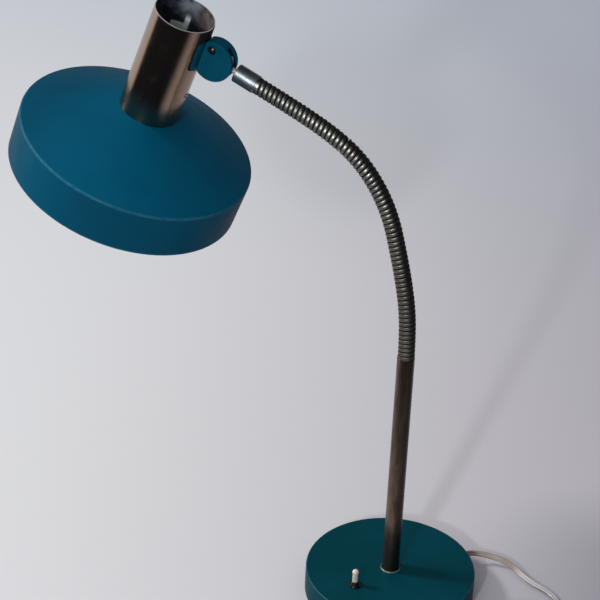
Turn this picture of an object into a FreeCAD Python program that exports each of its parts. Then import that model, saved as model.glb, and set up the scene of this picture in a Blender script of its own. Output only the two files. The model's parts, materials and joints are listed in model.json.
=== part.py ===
import FreeCAD, Part
import math
import os

# Desk lamp with a drum base, a plain stem, a gooseneck and a tilting head.
# Lengths are in millimetres and angles in degrees.
# The origin is on the table under the stem, +Z is up and the arm reaches towards -X.

V = FreeCAD.Vector
X_AXIS = V(1, 0, 0)
Y_AXIS = V(0, 1, 0)
Z_AXIS = V(0, 0, 1)
ORIGIN = V(0, 0, 0)

# Fits and allowances
overrun = 1.0
close_fit = 0.05
seat_gap = 0.15
loose_gap = 0.5

# Base drum
base_diameter = 160.0
base_height = 26.0
base_edge_radius = 1.4
cover_wall = 1.2
cover_lift = 1.0
felt_thickness = 2.0
felt_inset = 2.5
plate_thickness = 1.5
plate_screw_radius = 2.0
plate_screw_head_radius = 3.6
plate_screw_length = 9.0
plate_screw_count = 3
plate_screw_inset = 17.5
plate_screw_start_angle = 90.0
weight_thickness = 17.0
weight_hub_radius = 21.0
weight_boss_radius = 6.0
weight_nut_recess_radius = 13.0
weight_nut_recess_depth = 9.0
weight_wiring_width = 30.0

# Stem and its fixing
stem_diameter = 16.0
stem_wall = 1.25
stem_length = 235.5
foot_collar_width = 2.0
foot_collar_height = 1.4
nipple_radius = 5.0
nipple_bore_radius = 3.5
foot_plug_length = 16.0
nipple_engagement = 12.0
nipple_projection = 1.0
washer_radius = 11.0
washer_thickness = 1.6
nut_across_flats = 17.0
nut_thickness = 5.0
socket_length = 14.0

# Gooseneck
neck_rib_radius = 7.5
neck_groove_depth = 0.9
neck_bore_radius = 4.2
neck_rib_pitch = 4.39
neck_ribs_per_segment = 7
neck_segment_gap = 0.9
neck_total_bend = 68.7
neck_bend_shares = (0.05, 0.105, 0.05, 0.025, 0.17, 0.19, 0.245, 0.125, 0.035, 0.005)
neck_crest_shares = (0.26, 0.74)
neck_spigot_radius = 5.4
neck_spigot_length = 10.0

# Ferrule and tongue at the end of the neck
ferrule_diameter = 16.8
ferrule_length = 21.1
ferrule_chamfer = 0.6
ferrule_to_hinge = 22.0
peg_radius = 2.5
peg_bore_radius = 1.5
peg_engagement = 9.0
tongue_radius = 6.6
tongue_thickness = 6.0
tongue_fan_half_angle = 40.0

# Knuckle on the head
head_tilt = 19.1
tilt_inwards = 36.0
tilt_outwards = 48.0
knuckle_radius = 18.8
knuckle_width = 14.5
knuckle_wall = 2.2
knuckle_cheek = 3.0
knuckle_cover_thickness = 2.5
knuckle_corner_radius = 3.0
knuckle_edge_radius = 1.2
knuckle_flat_distance = 11.2
slot_side_gap = 1.5
slot_end_gap = 3.5
pivot_pin_radius = 3.0
pivot_pin_seat = 1.6
friction_washer_radius = 6.0
friction_washer_thickness = 1.0
clamp_screw_radius = 2.0
clamp_screw_up = 9.7
clamp_screw_back = 4.0
clamp_head_radius = 2.9
clamp_head_height = 1.5
clamp_recess_radius = 4.1
clamp_recess_depth = 1.8
clamp_boss_radius = 3.3
pad_thickness = 1.3
pad_margin = 1.5
knuckle_screw_radius = 2.0
knuckle_screw_spacing = 20.0
knuckle_screw_depth = 3.6
knuckle_screw_head_radius = 3.6
knuckle_screw_head_height = 2.2
knuckle_boss_radius = 3.6
knuckle_boss_depth = 2.2

# Head tube
tube_diameter = 55.0
tube_wall = 1.0
tube_above_hinge = 24.8
tube_below_hinge = 79.3
head_lead_radius = 1.6
head_lead_rise = 7.0
wire_clearance = 0.3

# Lampholder and its bracket
bracket_thickness = 1.5
bracket_half_angle = 15.0
bracket_rise = 15.0
bracket_drop = 16.0
bracket_foot_radius = 9.0
holder_nipple_length = 12.0
holder_nut_thickness = 3.0
holder_nut_across_flats = 14.0
holder_cap_height = 18.0
holder_cap_top_radius = 11.0
holder_radius = 20.0
holder_wall = 3.0
holder_skirt_height = 25.0
socket_shell_wall = 0.5
socket_core_height = 8.0
contact_radius = 3.0
contact_height = 2.0

# Bulb
bulb_cap_radius = 13.2
bulb_cap_height = 24.0
bulb_cap_wall = 0.5
bulb_neck_radius = 14.5
bulb_glass_radius = 30.0
bulb_glass_height = 83.0
bulb_glass_wall = 0.9
bulb_shoulder_angle = 25.0

# Shade
shade_crease_radius = 108.8
shade_rim_radius = 107.8
shade_cone_height = 36.7
shade_band_height = 42.3
shade_wall = 1.1
shade_collar_height = 37.0
shade_shoulder_width = 1.6
shade_crease_softness = 1.6
shade_bead_radius = 1.3
shade_screw_height = 31.3
shade_screw_radius = 1.5
shade_screw_length = 4.0
shade_screw_head_radius = 2.4
shade_screw_head_height = 1.5

# Push switch in the base
switch_radius_out = 44.7
switch_angle = -116.3
switch_body_radius = 9.0
switch_body_height = 15.0
switch_neck_radius = 4.8
switch_neck_height = 3.4
switch_nut_radius = 6.1
switch_nut_height = 3.6
switch_hole_in_weight = 12.0
button_radius = 2.75
button_height = 11.0
button_head_radius = 3.1
button_head_height = 3.6
button_travel = 3.0
button_depth = 9.0

# Mains cord where it enters the base
cord_diameter = 5.4
cord_exit_angle = 54.0
cord_exit_height = 12.0
bush_flange_radius = 6.0
bush_flange_thickness = 1.5
bush_neck_radius = 4.6
bush_nose_radius = 4.4
bush_nose_length = 1.0
terminal_length = 20.0
terminal_width = 17.0
terminal_height = 12.0
terminal_distance = 36.0
terminal_screw_radius = 1.8
terminal_bore_depth = 3.0
cord_first_run = 8.0
clamp_inset = 15.5
clamp_width = 7.0
clamp_thickness = 1.5
clamp_ear = 4.5
lead_radius = 1.1
lead_spacing = 2.6
switch_lead_spacing = 9.0
switch_terminal_spacing = 8.0
lead_bend_radius = 2.4

# Plug at the far end of the cord
plug_width = 35.3
plug_back_width = 15.0
plug_thickness = 13.7
plug_length = 34.0
plug_straight_length = 13.0
plug_corner_radius = 3.5
plug_sleeve_length = 24.0
plug_sleeve_root_radius = 4.6
plug_sleeve_tip_radius = 3.3
plug_pin_radius = 2.0
plug_pin_length = 19.0
plug_pin_spacing = 18.6
plug_pin_seat = 5.0

# Coil of the cord's put-away length
coil_centre = V(203.0, -4.0, 0)
coil_mean_radius = 30.0
coil_turn_gap = 0.5
coil_turns_per_layer = 4
tie_thickness = 0.8
tie_width = 7.0
tie_gap = 0.3

# Route of the free cord on the table, from the bush to the coil
cord_route = [
    V(62.0, 78.4, 11.0),
    V(74.0, 80.8, 9.6),
    V(87.5, 82.2, 7.9),
    V(98.5, 79.2, 6.0),
    V(109.0, 72.4, 4.3),
    V(122.5, 66.2, 3.3),
    V(138.0, 61.8, 2.9),
    V(150.6, 53.4, 2.9),
    V(158.6, 38.4, 3.0),
]
cord_last_run = 17.0

# Route of the cord from the coil's end to the plug, measured from that end
plug_lead_steps = [
    V(0, -14.0, 0),
    V(-4.0, -31.0, -3.2),
    V(-12.0, -50.0, -6.4),
    V(-19.0, -68.0, -5.4),
    V(-21.0, -83.0, -2.85),
    V(-21.0, -96.0, -2.85),
]

# Derived sizes of the base
base_radius = base_diameter / 2
plate_screw_circle = base_radius - plate_screw_inset
clamp_distance = base_radius - clamp_inset
cover_inner_radius = base_radius - cover_wall
cover_underside = base_height - cover_wall
plate_top = felt_thickness + plate_thickness
plate_radius = cover_inner_radius - loose_gap
weight_radius = cover_inner_radius - loose_gap
weight_bottom = cover_underside - weight_thickness
stem_radius = stem_diameter / 2
stem_bore_radius = stem_radius - stem_wall
stem_top = base_height + stem_length
plug_in_stem_radius = stem_bore_radius - close_fit
nut_recess_top = weight_bottom + weight_nut_recess_depth
nut_bottom = nut_recess_top - washer_thickness - nut_thickness
nipple_bottom = nut_bottom - nipple_projection
cord_radius = cord_diameter / 2
cord_out = V(math.cos(math.radians(cord_exit_angle)), math.sin(math.radians(cord_exit_angle)), 0)
cord_side = V(-cord_out.y, cord_out.x, 0)
switch_out = V(math.cos(math.radians(switch_angle)), math.sin(math.radians(switch_angle)), 0)
switch_place = switch_out * switch_radius_out

# Derived sizes of the neck
neck_segments = len(neck_bend_shares)
neck_segment_length = neck_ribs_per_segment * neck_rib_pitch
neck_groove_radius = neck_rib_radius - neck_groove_depth

# Derived sizes of the head, along the tube's own axes from the hinge
tube_radius = tube_diameter / 2
tube_bore_radius = tube_radius - tube_wall
tube_side = knuckle_flat_distance + pad_thickness
tube_axis_x = -tube_side - tube_radius
knuckle_half_width = knuckle_width / 2
housing_open_side = knuckle_half_width - knuckle_cover_thickness
tongue_reach = knuckle_radius - knuckle_wall - loose_gap
cavity_near_side = -knuckle_half_width + knuckle_cheek
bracket_outer_radius = tube_bore_radius - close_fit
bracket_inner_radius = bracket_outer_radius - bracket_thickness
bracket_foot_top = -bracket_drop + bracket_thickness
holder_top = -bracket_drop
holder_skirt_top = holder_top - holder_cap_height
holder_mouth = holder_skirt_top - holder_skirt_height
junction = -tube_below_hinge
wire_hole_radius = head_lead_radius + wire_clearance


def placed(shape, origin, x_dir, z_dir):
    """A copy of a shape with its X and Z axes turned to the given directions."""
    z = V(z_dir).normalize()
    x = (x_dir - z * x_dir.dot(z)).normalize()
    y = z.cross(x)
    matrix = FreeCAD.Matrix(
        x.x, y.x, z.x, origin.x,
        x.y, y.y, z.y, origin.y,
        x.z, y.z, z.z, origin.z,
        0, 0, 0, 1,
    )
    moved = shape.copy()
    moved.Placement = FreeCAD.Placement(matrix).multiply(moved.Placement)
    return moved


def rounded_wire(points, to_space):
    """Closed wire through (u, v, corner radius) points, with tangent arcs at the corners."""
    count = len(points)
    flat = [V(u, v, 0) for u, v, r in points]
    starts = []
    ends = []
    mids = []
    for i in range(count):
        corner = flat[i]
        radius = points[i][2]
        back = (flat[i - 1] - corner).normalize()
        ahead = (flat[(i + 1) % count] - corner).normalize()
        half = back.getAngle(ahead) / 2
        if radius == 0:
            starts.append(corner)
            ends.append(corner)
            mids.append(None)
            continue
        reach = radius / math.tan(half)
        bisector = (back + ahead).normalize()
        starts.append(corner + back * reach)
        ends.append(corner + ahead * reach)
        mids.append(corner + bisector * (radius / math.sin(half) - radius))
    edges = []
    for i in range(count):
        if mids[i] is not None:
            arc = Part.Arc(to_space(starts[i]), to_space(mids[i]), to_space(ends[i]))
            edges.append(arc.toShape())
        follower = (i + 1) % count
        if (starts[follower] - ends[i]).Length > close_fit / 10:
            edges.append(Part.LineSegment(to_space(ends[i]), to_space(starts[follower])).toShape())
    return Part.Wire(edges)


def turned(points):
    """Solid of revolution about Z of an outline of (radius, height, corner radius) points."""
    wire = rounded_wire(points, lambda p: V(p.x, 0, p.y))
    return Part.Face(wire).revolve(ORIGIN, Z_AXIS, 360)


def plate(points, thickness):
    """Plate in XY of the given thickness above Z = 0, with an outline of (x, y, radius) points."""
    wire = rounded_wire(points, lambda p: V(p.x, p.y, 0))
    return Part.Face(wire).extrude(V(0, 0, thickness))


def side_plate(points, near, far):
    """Plate in XZ between two Y values, with an outline of (x, z, radius) points."""
    wire = rounded_wire(points, lambda p: V(p.x, near, p.y))
    return Part.Face(wire).extrude(V(0, far - near, 0))


def rod(radius, bottom, top, centre=ORIGIN):
    """Vertical cylinder between two heights."""
    return Part.makeCylinder(radius, top - bottom, V(centre.x, centre.y, bottom))


def rod_along(radius, start, end):
    """Cylinder between two points."""
    return Part.makeCylinder(radius, (end - start).Length, start, end - start)


def ring(outer, inner, bottom, top, centre=ORIGIN):
    """Vertical sleeve between two heights."""
    bore = rod(inner, bottom - overrun, top + overrun, centre)
    return rod(outer, bottom, top, centre).cut(bore)


def hexagon_nut(across_flats, bore, bottom, top):
    """Hexagon nut on the Z axis."""
    corner = across_flats / 2 / math.cos(math.radians(30))
    angles = [math.radians(60 * i) for i in range(6)]
    corners = [(corner * math.cos(a), corner * math.sin(a), 0) for a in angles]
    body = plate(corners, top - bottom)
    body.translate(V(0, 0, bottom))
    return body.cut(rod(bore, bottom - overrun, top + overrun))


def path_wire(points, radii=None):
    """Wire of straight runs joined by tangent arcs, and the radii of the arcs."""
    edges = []
    used = []
    last = points[0]
    for i in range(1, len(points) - 1):
        corner = points[i]
        back = points[i - 1] - corner
        ahead = points[i + 1] - corner
        half_turn = (math.pi - back.getAngle(ahead)) / 2
        radius = 0.45 * min(back.Length, ahead.Length) / math.tan(half_turn)
        if radii is not None:
            radius = radii
        used.append(radius)
        reach = radius * math.tan(half_turn)
        back.normalize()
        ahead.normalize()
        start = corner + back * reach
        end = corner + ahead * reach
        bisector = (back + ahead).normalize()
        middle = corner + bisector * (radius / math.cos(half_turn) - radius)
        edges.append(Part.LineSegment(last, start).toShape())
        edges.append(Part.Arc(start, middle, end).toShape())
        last = end
    edges.append(Part.LineSegment(last, points[-1]).toShape())
    return Part.Wire(edges), used


def tube_along(wire, radius, start, direction):
    """Solid round tube along a wire."""
    circle = Part.Circle(start, direction, radius)
    profile = Part.Wire([circle.toShape()])
    return wire.makePipeShell([profile], True, False)


# Base

def plate_screw_places():
    """Centres of the screws under the base, clear of the cord and the switch."""
    step = 360 / plate_screw_count
    first = cord_exit_angle + plate_screw_start_angle
    angles = [math.radians(first + step * i) for i in range(plate_screw_count)]
    return [V(plate_screw_circle * math.cos(a), plate_screw_circle * math.sin(a), 0) for a in angles]


def base_cover():
    shell = turned([
        (0, cover_underside, 0),
        (cover_inner_radius, cover_underside, base_edge_radius - cover_wall),
        (cover_inner_radius, cover_lift, 0),
        (base_radius, cover_lift, 0),
        (base_radius, base_height, base_edge_radius),
        (0, base_height, 0),
    ])
    centre_hole = rod(nipple_radius + close_fit, cover_underside - overrun, base_height + overrun)
    switch_bore = switch_neck_radius + close_fit
    switch_hole = rod(switch_bore, cover_underside - overrun, base_height + overrun, switch_place)
    inner = cord_out * (cover_inner_radius - overrun) + V(0, 0, cord_exit_height)
    outer = cord_out * (base_radius + overrun) + V(0, 0, cord_exit_height)
    cord_hole = rod_along(bush_neck_radius + close_fit, inner, outer)
    return shell.cut([centre_hole, switch_hole, cord_hole])


def base_weight():
    disc = rod(weight_radius, weight_bottom, cover_underside)
    bosses = [rod(weight_boss_radius, plate_top, weight_bottom, place) for place in plate_screw_places()]
    disc = disc.fuse(bosses)
    cuts = [rod(nipple_radius + loose_gap, weight_bottom - overrun, cover_underside + overrun)]
    cuts.append(rod(weight_nut_recess_radius, weight_bottom - overrun, nut_recess_top))
    cuts.append(rod(switch_hole_in_weight, weight_bottom - overrun, cover_underside + overrun, switch_place))
    for place in plate_screw_places():
        top = plate_top + plate_screw_length
        cuts.append(rod(plate_screw_radius + close_fit, plate_top - overrun, top, place))
    bay = Part.makeBox(weight_radius, weight_wiring_width, weight_thickness + 2 * overrun)
    bay.translate(V(weight_hub_radius, -weight_wiring_width / 2, weight_bottom - overrun))
    bay.rotate(ORIGIN, Z_AXIS, cord_exit_angle)
    cuts.append(bay)
    return disc.cut(cuts).removeSplitter()


def base_plate():
    disc = rod(plate_radius, felt_thickness, plate_top)
    cuts = []
    for place in plate_screw_places():
        sink = Part.makeCone(
            plate_screw_head_radius + close_fit,
            plate_screw_radius + close_fit,
            plate_thickness,
            V(place.x, place.y, felt_thickness),
        )
        cuts.append(sink)
    return disc.cut(cuts)


def plate_screws():
    screws = []
    for place in plate_screw_places():
        head = Part.makeCone(
            plate_screw_head_radius,
            plate_screw_radius,
            plate_thickness,
            V(place.x, place.y, felt_thickness),
        )
        shank = rod(plate_screw_radius, plate_top, plate_top + plate_screw_length - seat_gap, place)
        screws.append(head.fuse(shank))
    return Part.makeCompound(screws)


def felt_pad():
    return rod(plate_radius - felt_inset, 0, felt_thickness)


# Stem

def stem():
    return ring(stem_radius, stem_bore_radius, base_height, stem_top)


def foot_collar():
    outer = stem_radius + foot_collar_width
    inner = stem_radius + close_fit
    top = base_height + foot_collar_height
    edge = foot_collar_height / 2
    return turned([(inner, base_height, 0), (outer, base_height, 0), (outer, top, edge), (inner, top, 0)])


def stem_foot_plug():
    return ring(plug_in_stem_radius, nipple_radius + close_fit, base_height, base_height + foot_plug_length)


def stem_nipple():
    return ring(nipple_radius, nipple_bore_radius, nipple_bottom, base_height + nipple_engagement)


def stem_washer():
    return ring(washer_radius, nipple_radius + close_fit, nut_recess_top - washer_thickness, nut_recess_top)


def stem_nut():
    top = nut_bottom + nut_thickness
    return hexagon_nut(nut_across_flats, nipple_radius + close_fit, nut_bottom, top)


def neck_socket():
    inner = neck_spigot_radius + close_fit
    return ring(plug_in_stem_radius, inner, stem_top - socket_length, stem_top)


# Gooseneck

def neck_frames():
    """Point and direction of the neck's centre line at a share of a segment's length."""
    starts = []
    point = V(0, 0, stem_top)
    angle = math.radians(90)
    for share in neck_bend_shares:
        bend = math.radians(neck_total_bend * share)
        starts.append((point, angle, bend))
        chord = neck_segment_length * math.sin(bend / 2) / (bend / 2)
        middle = angle - bend / 2
        point = point + V(-math.cos(middle), 0, math.sin(middle)) * chord
        angle = angle - bend
    starts.append((point, angle, 0))
    return starts


def neck_point(start, distance):
    """Point and direction on a segment, a distance along it from its start."""
    point, angle, bend = start
    turn = bend * distance / neck_segment_length
    if abs(turn) < 1e-9:
        chord = distance
    else:
        chord = distance * math.sin(turn / 2) / (turn / 2)
    middle = angle - turn / 2
    place = point + V(-math.cos(middle), 0, math.sin(middle)) * chord
    end_angle = angle - turn
    return place, V(-math.cos(end_angle), 0, math.sin(end_angle))


def neck_circle(start, distance, radius):
    """Circle round the neck, with its own X axis kept square to the arm's plane."""
    place, direction = neck_point(start, distance)
    circle = Part.Circle(place, direction, radius)
    circle.XAxis = Y_AXIS
    return Part.Wire([circle.toShape()])


def neck_segment(start, first, last):
    """One stretch of the ribbed neck with its bore, and a spigot where it is held."""
    begin = 0 if first else neck_segment_gap / 2
    finish = neck_segment_length if last else neck_segment_length - neck_segment_gap / 2
    wires = [neck_circle(start, begin, neck_groove_radius)]
    for i in range(neck_ribs_per_segment):
        for share in neck_crest_shares:
            wires.append(neck_circle(start, (i + share) * neck_rib_pitch, neck_rib_radius))
        rib_end = min((i + 1) * neck_rib_pitch, finish)
        wires.append(neck_circle(start, rib_end, neck_groove_radius))
    body = Part.makeLoft(wires, True, True)
    if first:
        place, direction = neck_point(start, 0)
        body = body.fuse(rod_along(neck_spigot_radius, place - direction * neck_spigot_length, place))
    if last:
        place, direction = neck_point(start, neck_segment_length)
        body = body.fuse(rod_along(neck_spigot_radius, place, place + direction * neck_spigot_length))
    low = -neck_spigot_length - overrun if first else -overrun
    high = neck_segment_length + neck_spigot_length + overrun if last else neck_segment_length + overrun
    places = [low] + [i * neck_rib_pitch for i in range(1, neck_ribs_per_segment)] + [high]
    straight_low = [neck_circle(start, d, neck_bore_radius) for d in places]
    bore = Part.makeLoft(straight_low, True, True)
    return body.cut(bore)


# Ferrule and tongue

def ferrule():
    bore = neck_spigot_radius + close_fit
    peg_bore = peg_radius + close_fit
    floor = neck_spigot_length + seat_gap
    outer = ferrule_diameter / 2
    return turned([
        (bore, 0, 0),
        (outer - ferrule_chamfer, 0, 0),
        (outer, ferrule_chamfer, 0),
        (outer, ferrule_length - ferrule_chamfer, 0),
        (outer - ferrule_chamfer, ferrule_length, 0),
        (peg_bore, ferrule_length, 0),
        (peg_bore, floor, 0),
        (bore, floor, 0),
    ])


def tongue():
    """Eye, fan that fills the knuckle's slot, and hollow peg along +X from the eye at the origin."""
    half = tongue_thickness / 2
    eye = rod(tongue_radius, -half, half)
    tip = V(ferrule_to_hinge + peg_engagement, 0, 0)
    peg = rod_along(peg_radius, V(pivot_pin_radius + overrun, 0, 0), tip)
    fan = Part.makeCylinder(tongue_reach, tongue_thickness, V(0, 0, -half), Z_AXIS, 2 * tongue_fan_half_angle)
    fan.rotate(ORIGIN, Z_AXIS, -tongue_fan_half_angle)
    body = eye.fuse([peg, fan])
    inner = V(pivot_pin_radius + 2 * overrun, 0, 0)
    bore = rod_along(peg_bore_radius, inner, tip + X_AXIS * overrun)
    eye_hole = rod(pivot_pin_radius + close_fit, -half - overrun, half + overrun)
    wire_way = rod(peg_bore_radius, 0, half + overrun, inner)
    return body.cut([bore, eye_hole, wire_way])


# Knuckle, in the head's own axes: X towards the arm, Z up the tube

def knuckle_outline(inset):
    """Drum with a flat towards the tube, made smaller all round by an inset."""
    radius = knuckle_radius - inset
    flat = -knuckle_flat_distance + inset
    reach = math.sqrt(radius * radius - flat * flat)
    corner = max(knuckle_corner_radius - inset, seat_gap)
    centre_distance = radius - corner
    centre_x = flat + corner
    centre_z = math.sqrt(centre_distance * centre_distance - centre_x * centre_x)
    touch = V(centre_x, 0, centre_z) * (radius / centre_distance)
    lean = math.atan2(touch.z, touch.x)
    middle_angle = (lean + math.pi) / 2
    middle = V(centre_x, 0, centre_z) + V(math.cos(middle_angle), 0, math.sin(middle_angle)) * corner
    low_touch = V(touch.x, 0, -touch.z)
    low_middle = V(middle.x, 0, -middle.z)
    top = V(flat, 0, centre_z)
    bottom = V(flat, 0, -centre_z)
    edges = [Part.Arc(touch, V(radius, 0, 0), low_touch).toShape()]
    edges.append(Part.Arc(low_touch, low_middle, bottom).toShape())
    edges.append(Part.LineSegment(bottom, top).toShape())
    edges.append(Part.Arc(top, middle, touch).toShape())
    return Part.Wire(edges), reach


def knuckle_slab(inset, near, far):
    wire, reach = knuckle_outline(inset)
    face = Part.Face(wire)
    slab = face.extrude(V(0, far - near, 0))
    slab.translate(V(0, near, 0))
    return slab


def slot_sector():
    """The arc-shaped slot in the drum's rim through which the peg swings."""
    rest = head_tilt - (90 - neck_total_bend)
    half_width = peg_radius + slot_side_gap
    reach = math.degrees(math.asin((half_width + slot_end_gap / 2) / knuckle_radius))
    low = rest - tilt_inwards - reach
    high = rest + tilt_outwards + reach
    size = knuckle_radius + overrun
    sector = Part.makeCylinder(size, 2 * half_width, ORIGIN, Z_AXIS, high - low)
    sector.translate(V(0, 0, -half_width))
    sector = placed(sector, ORIGIN, X_AXIS, V(0, -1, 0))
    sector.rotate(ORIGIN, Y_AXIS, -low)
    start = V(0, -2 * half_width, 0)
    keep = Part.makeCylinder(tongue_radius + loose_gap, 4 * half_width, start, Y_AXIS)
    return sector.cut(keep)


def clamp_line():
    return V(-clamp_screw_back, 0, clamp_screw_up)


def knuckle_screw_lines():
    half = knuckle_screw_spacing / 2
    return [V(0, 0, half), V(0, 0, -half)]


def across(radius, centre, near, far):
    """Cylinder along Y between two Y values."""
    return Part.makeCylinder(radius, far - near, V(centre.x, near, centre.z), Y_AXIS)


def knuckle_housing():
    body = knuckle_slab(0, -knuckle_half_width, housing_open_side)
    rim = [edge for edge in body.Edges if edge.BoundBox.YMax < -knuckle_half_width + close_fit]
    body = body.makeFillet(knuckle_edge_radius, rim)
    body = body.cut(knuckle_slab(knuckle_wall, cavity_near_side, housing_open_side + overrun))
    body = body.fuse(across(clamp_boss_radius, clamp_line(), cavity_near_side - overrun, housing_open_side))
    inner_face = -knuckle_flat_distance + knuckle_wall
    for line in knuckle_screw_lines():
        start = line + V(inner_face - overrun, 0, 0)
        end = line + V(inner_face + knuckle_boss_depth, 0, 0)
        body = body.fuse(rod_along(knuckle_boss_radius, start, end))
    cuts = [slot_sector()]
    cuts.append(across(clamp_screw_radius + close_fit, clamp_line(), -knuckle_width, knuckle_width))
    recess_floor = -knuckle_half_width + clamp_recess_depth
    cuts.append(across(clamp_recess_radius, clamp_line(), -knuckle_width, recess_floor))
    pin_seat = cavity_near_side - pivot_pin_seat
    cuts.append(across(pivot_pin_radius + close_fit, ORIGIN, pin_seat, housing_open_side))
    cuts.append(rod_along(wire_hole_radius, V(-tube_side, 0, 0), V(inner_face + overrun, 0, 0)))
    for line in knuckle_screw_lines():
        start = line + V(-tube_side, 0, 0)
        end = line + V(-knuckle_flat_distance + knuckle_screw_depth + seat_gap, 0, 0)
        cuts.append(rod_along(knuckle_screw_radius + close_fit, start, end))
    return body.cut(cuts).removeSplitter()


def knuckle_cover():
    body = knuckle_slab(0, housing_open_side, knuckle_half_width)
    rim = [edge for edge in body.Edges if edge.BoundBox.YMin > knuckle_half_width - close_fit]
    body = body.makeFillet(knuckle_edge_radius, rim)
    seat_end = housing_open_side + pivot_pin_seat
    pin_seat = across(pivot_pin_radius + close_fit, ORIGIN, housing_open_side - overrun, seat_end)
    screw_hole = across(clamp_screw_radius + close_fit, clamp_line(), 0, knuckle_width)
    return body.cut([pin_seat, screw_hole])


def pivot_pin():
    near = cavity_near_side - pivot_pin_seat + seat_gap
    far = housing_open_side + pivot_pin_seat - seat_gap
    return across(pivot_pin_radius, ORIGIN, near, far)


def friction_washers():
    half = tongue_thickness / 2
    bore = pivot_pin_radius + close_fit
    room = (housing_open_side - cavity_near_side - tongue_thickness) / 2 - friction_washer_thickness
    middle = (housing_open_side + cavity_near_side) / 2
    rings = []
    for side in (-1, 1):
        centre = middle + side * (half + room / 2 + friction_washer_thickness / 2)
        near = centre - friction_washer_thickness / 2
        far = centre + friction_washer_thickness / 2
        disc = across(friction_washer_radius, ORIGIN, near, far)
        rings.append(disc.cut(across(bore, ORIGIN, near - overrun, far + overrun)))
    return Part.makeCompound(rings)


def domed_head(radius, height):
    """Screw head on Z = 0 with its dome upwards."""
    sphere_radius = (radius * radius + height * height) / (2 * height)
    ball = Part.makeSphere(sphere_radius, V(0, 0, height - sphere_radius))
    return ball.common(rod(radius, 0, height + overrun))


def clamp_screw():
    floor = -knuckle_half_width + clamp_recess_depth
    dome = domed_head(clamp_head_radius, clamp_head_height)
    head = placed(dome, clamp_line() + V(0, floor, 0), X_AXIS, V(0, -1, 0))
    shank = across(clamp_screw_radius, clamp_line(), floor, knuckle_half_width - seat_gap)
    return head.fuse(shank)


def knuckle_pad():
    wire, reach = knuckle_outline(0)
    half_height = reach + pad_margin
    depth = tube_side + tube_radius
    block = Part.makeBox(depth - knuckle_flat_distance, knuckle_width, 2 * half_height)
    block.translate(V(-depth, -knuckle_half_width, -half_height))
    curve = rod(tube_radius + close_fit, -half_height - overrun, half_height + overrun, V(tube_axis_x, 0, 0))
    cuts = [curve, rod_along(wire_hole_radius, V(-depth, 0, 0), V(0, 0, 0))]
    for line in knuckle_screw_lines():
        cuts.append(rod_along(knuckle_screw_radius + close_fit, line + V(-depth, 0, 0), line))
    return block.cut(cuts)


def knuckle_screws():
    seat = math.sqrt(bracket_inner_radius ** 2 - knuckle_screw_head_radius ** 2)
    inner_wall = tube_axis_x + seat - close_fit
    screws = []
    for line in knuckle_screw_lines():
        tip = line + V(-knuckle_flat_distance + knuckle_screw_depth, 0, 0)
        shank = rod_along(knuckle_screw_radius, line + V(inner_wall, 0, 0), tip)
        dome = domed_head(knuckle_screw_head_radius, knuckle_screw_head_height)
        head = placed(dome, line + V(inner_wall, 0, 0), Z_AXIS, V(-1, 0, 0))
        screws.append(head.fuse(shank))
    return Part.makeCompound(screws)


# Head tube, bracket and lampholder

def head_tube():
    axis = V(tube_axis_x, 0, 0)
    body = ring(tube_radius, tube_bore_radius, junction, tube_above_hinge, axis)
    cuts = [rod_along(wire_hole_radius, axis, ORIGIN)]
    for line in knuckle_screw_lines():
        cuts.append(rod_along(knuckle_screw_radius + close_fit, line + axis, line))
    middle = axis + V(0, 0, junction + shade_screw_height)
    reach = X_AXIS * (tube_radius + overrun)
    cuts.append(rod_along(shade_screw_radius + close_fit, middle - reach, middle + reach))
    return body.cut(cuts)


def holder_bracket():
    """Strip bent to the tube's wall, with a foot across the tube that carries the holder."""
    axis = V(tube_axis_x, 0, 0)
    shell = ring(bracket_outer_radius, bracket_inner_radius, -bracket_drop, bracket_rise, axis)
    span = math.radians(bracket_half_angle)
    half_width = bracket_outer_radius * math.sin(span)
    keep = Part.makeBox(bracket_outer_radius, 2 * half_width, bracket_rise + bracket_drop)
    keep.translate(V(tube_axis_x, -half_width, -bracket_drop))
    leg = shell.common(keep)
    foot = Part.makeBox(bracket_inner_radius, 2 * half_width, bracket_thickness)
    foot.translate(V(tube_axis_x, -half_width, -bracket_drop))
    foot = foot.common(rod(bracket_outer_radius, -bracket_drop, bracket_rise, axis))
    foot = foot.fuse(rod(bracket_foot_radius, -bracket_drop, bracket_foot_top, axis))
    body = leg.fuse(foot)
    cuts = [rod(nipple_radius + close_fit, -bracket_drop - overrun, bracket_rise, axis)]
    cuts.append(rod_along(wire_hole_radius, axis, ORIGIN))
    for line in knuckle_screw_lines():
        cuts.append(rod_along(knuckle_screw_radius + close_fit, line + axis, line))
    return body.cut(cuts).removeSplitter()


def on_tube_axis(shape):
    moved = shape.copy()
    moved.translate(V(tube_axis_x, 0, 0))
    return moved


def holder_nipple():
    top = bracket_foot_top + holder_nut_thickness + nipple_projection
    return on_tube_axis(ring(nipple_radius, nipple_bore_radius, top - holder_nipple_length, top))


def holder_nut():
    top = bracket_foot_top + holder_nut_thickness
    nut = hexagon_nut(holder_nut_across_flats, nipple_radius + close_fit, bracket_foot_top, top)
    return on_tube_axis(nut)


def holder_cap():
    inner = holder_radius - holder_wall
    body = turned([
        (nipple_radius + close_fit, holder_top, 0),
        (holder_cap_top_radius, holder_top, 0),
        (holder_radius, holder_top - holder_cap_height / 2, holder_wall),
        (holder_radius, holder_skirt_top, 0),
        (inner, holder_skirt_top, 0),
        (inner, holder_top - holder_cap_height / 2, 0),
        (holder_cap_top_radius, holder_top - holder_wall, 0),
        (nipple_radius + close_fit, holder_top - holder_wall, 0),
    ])
    return on_tube_axis(body)


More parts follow.
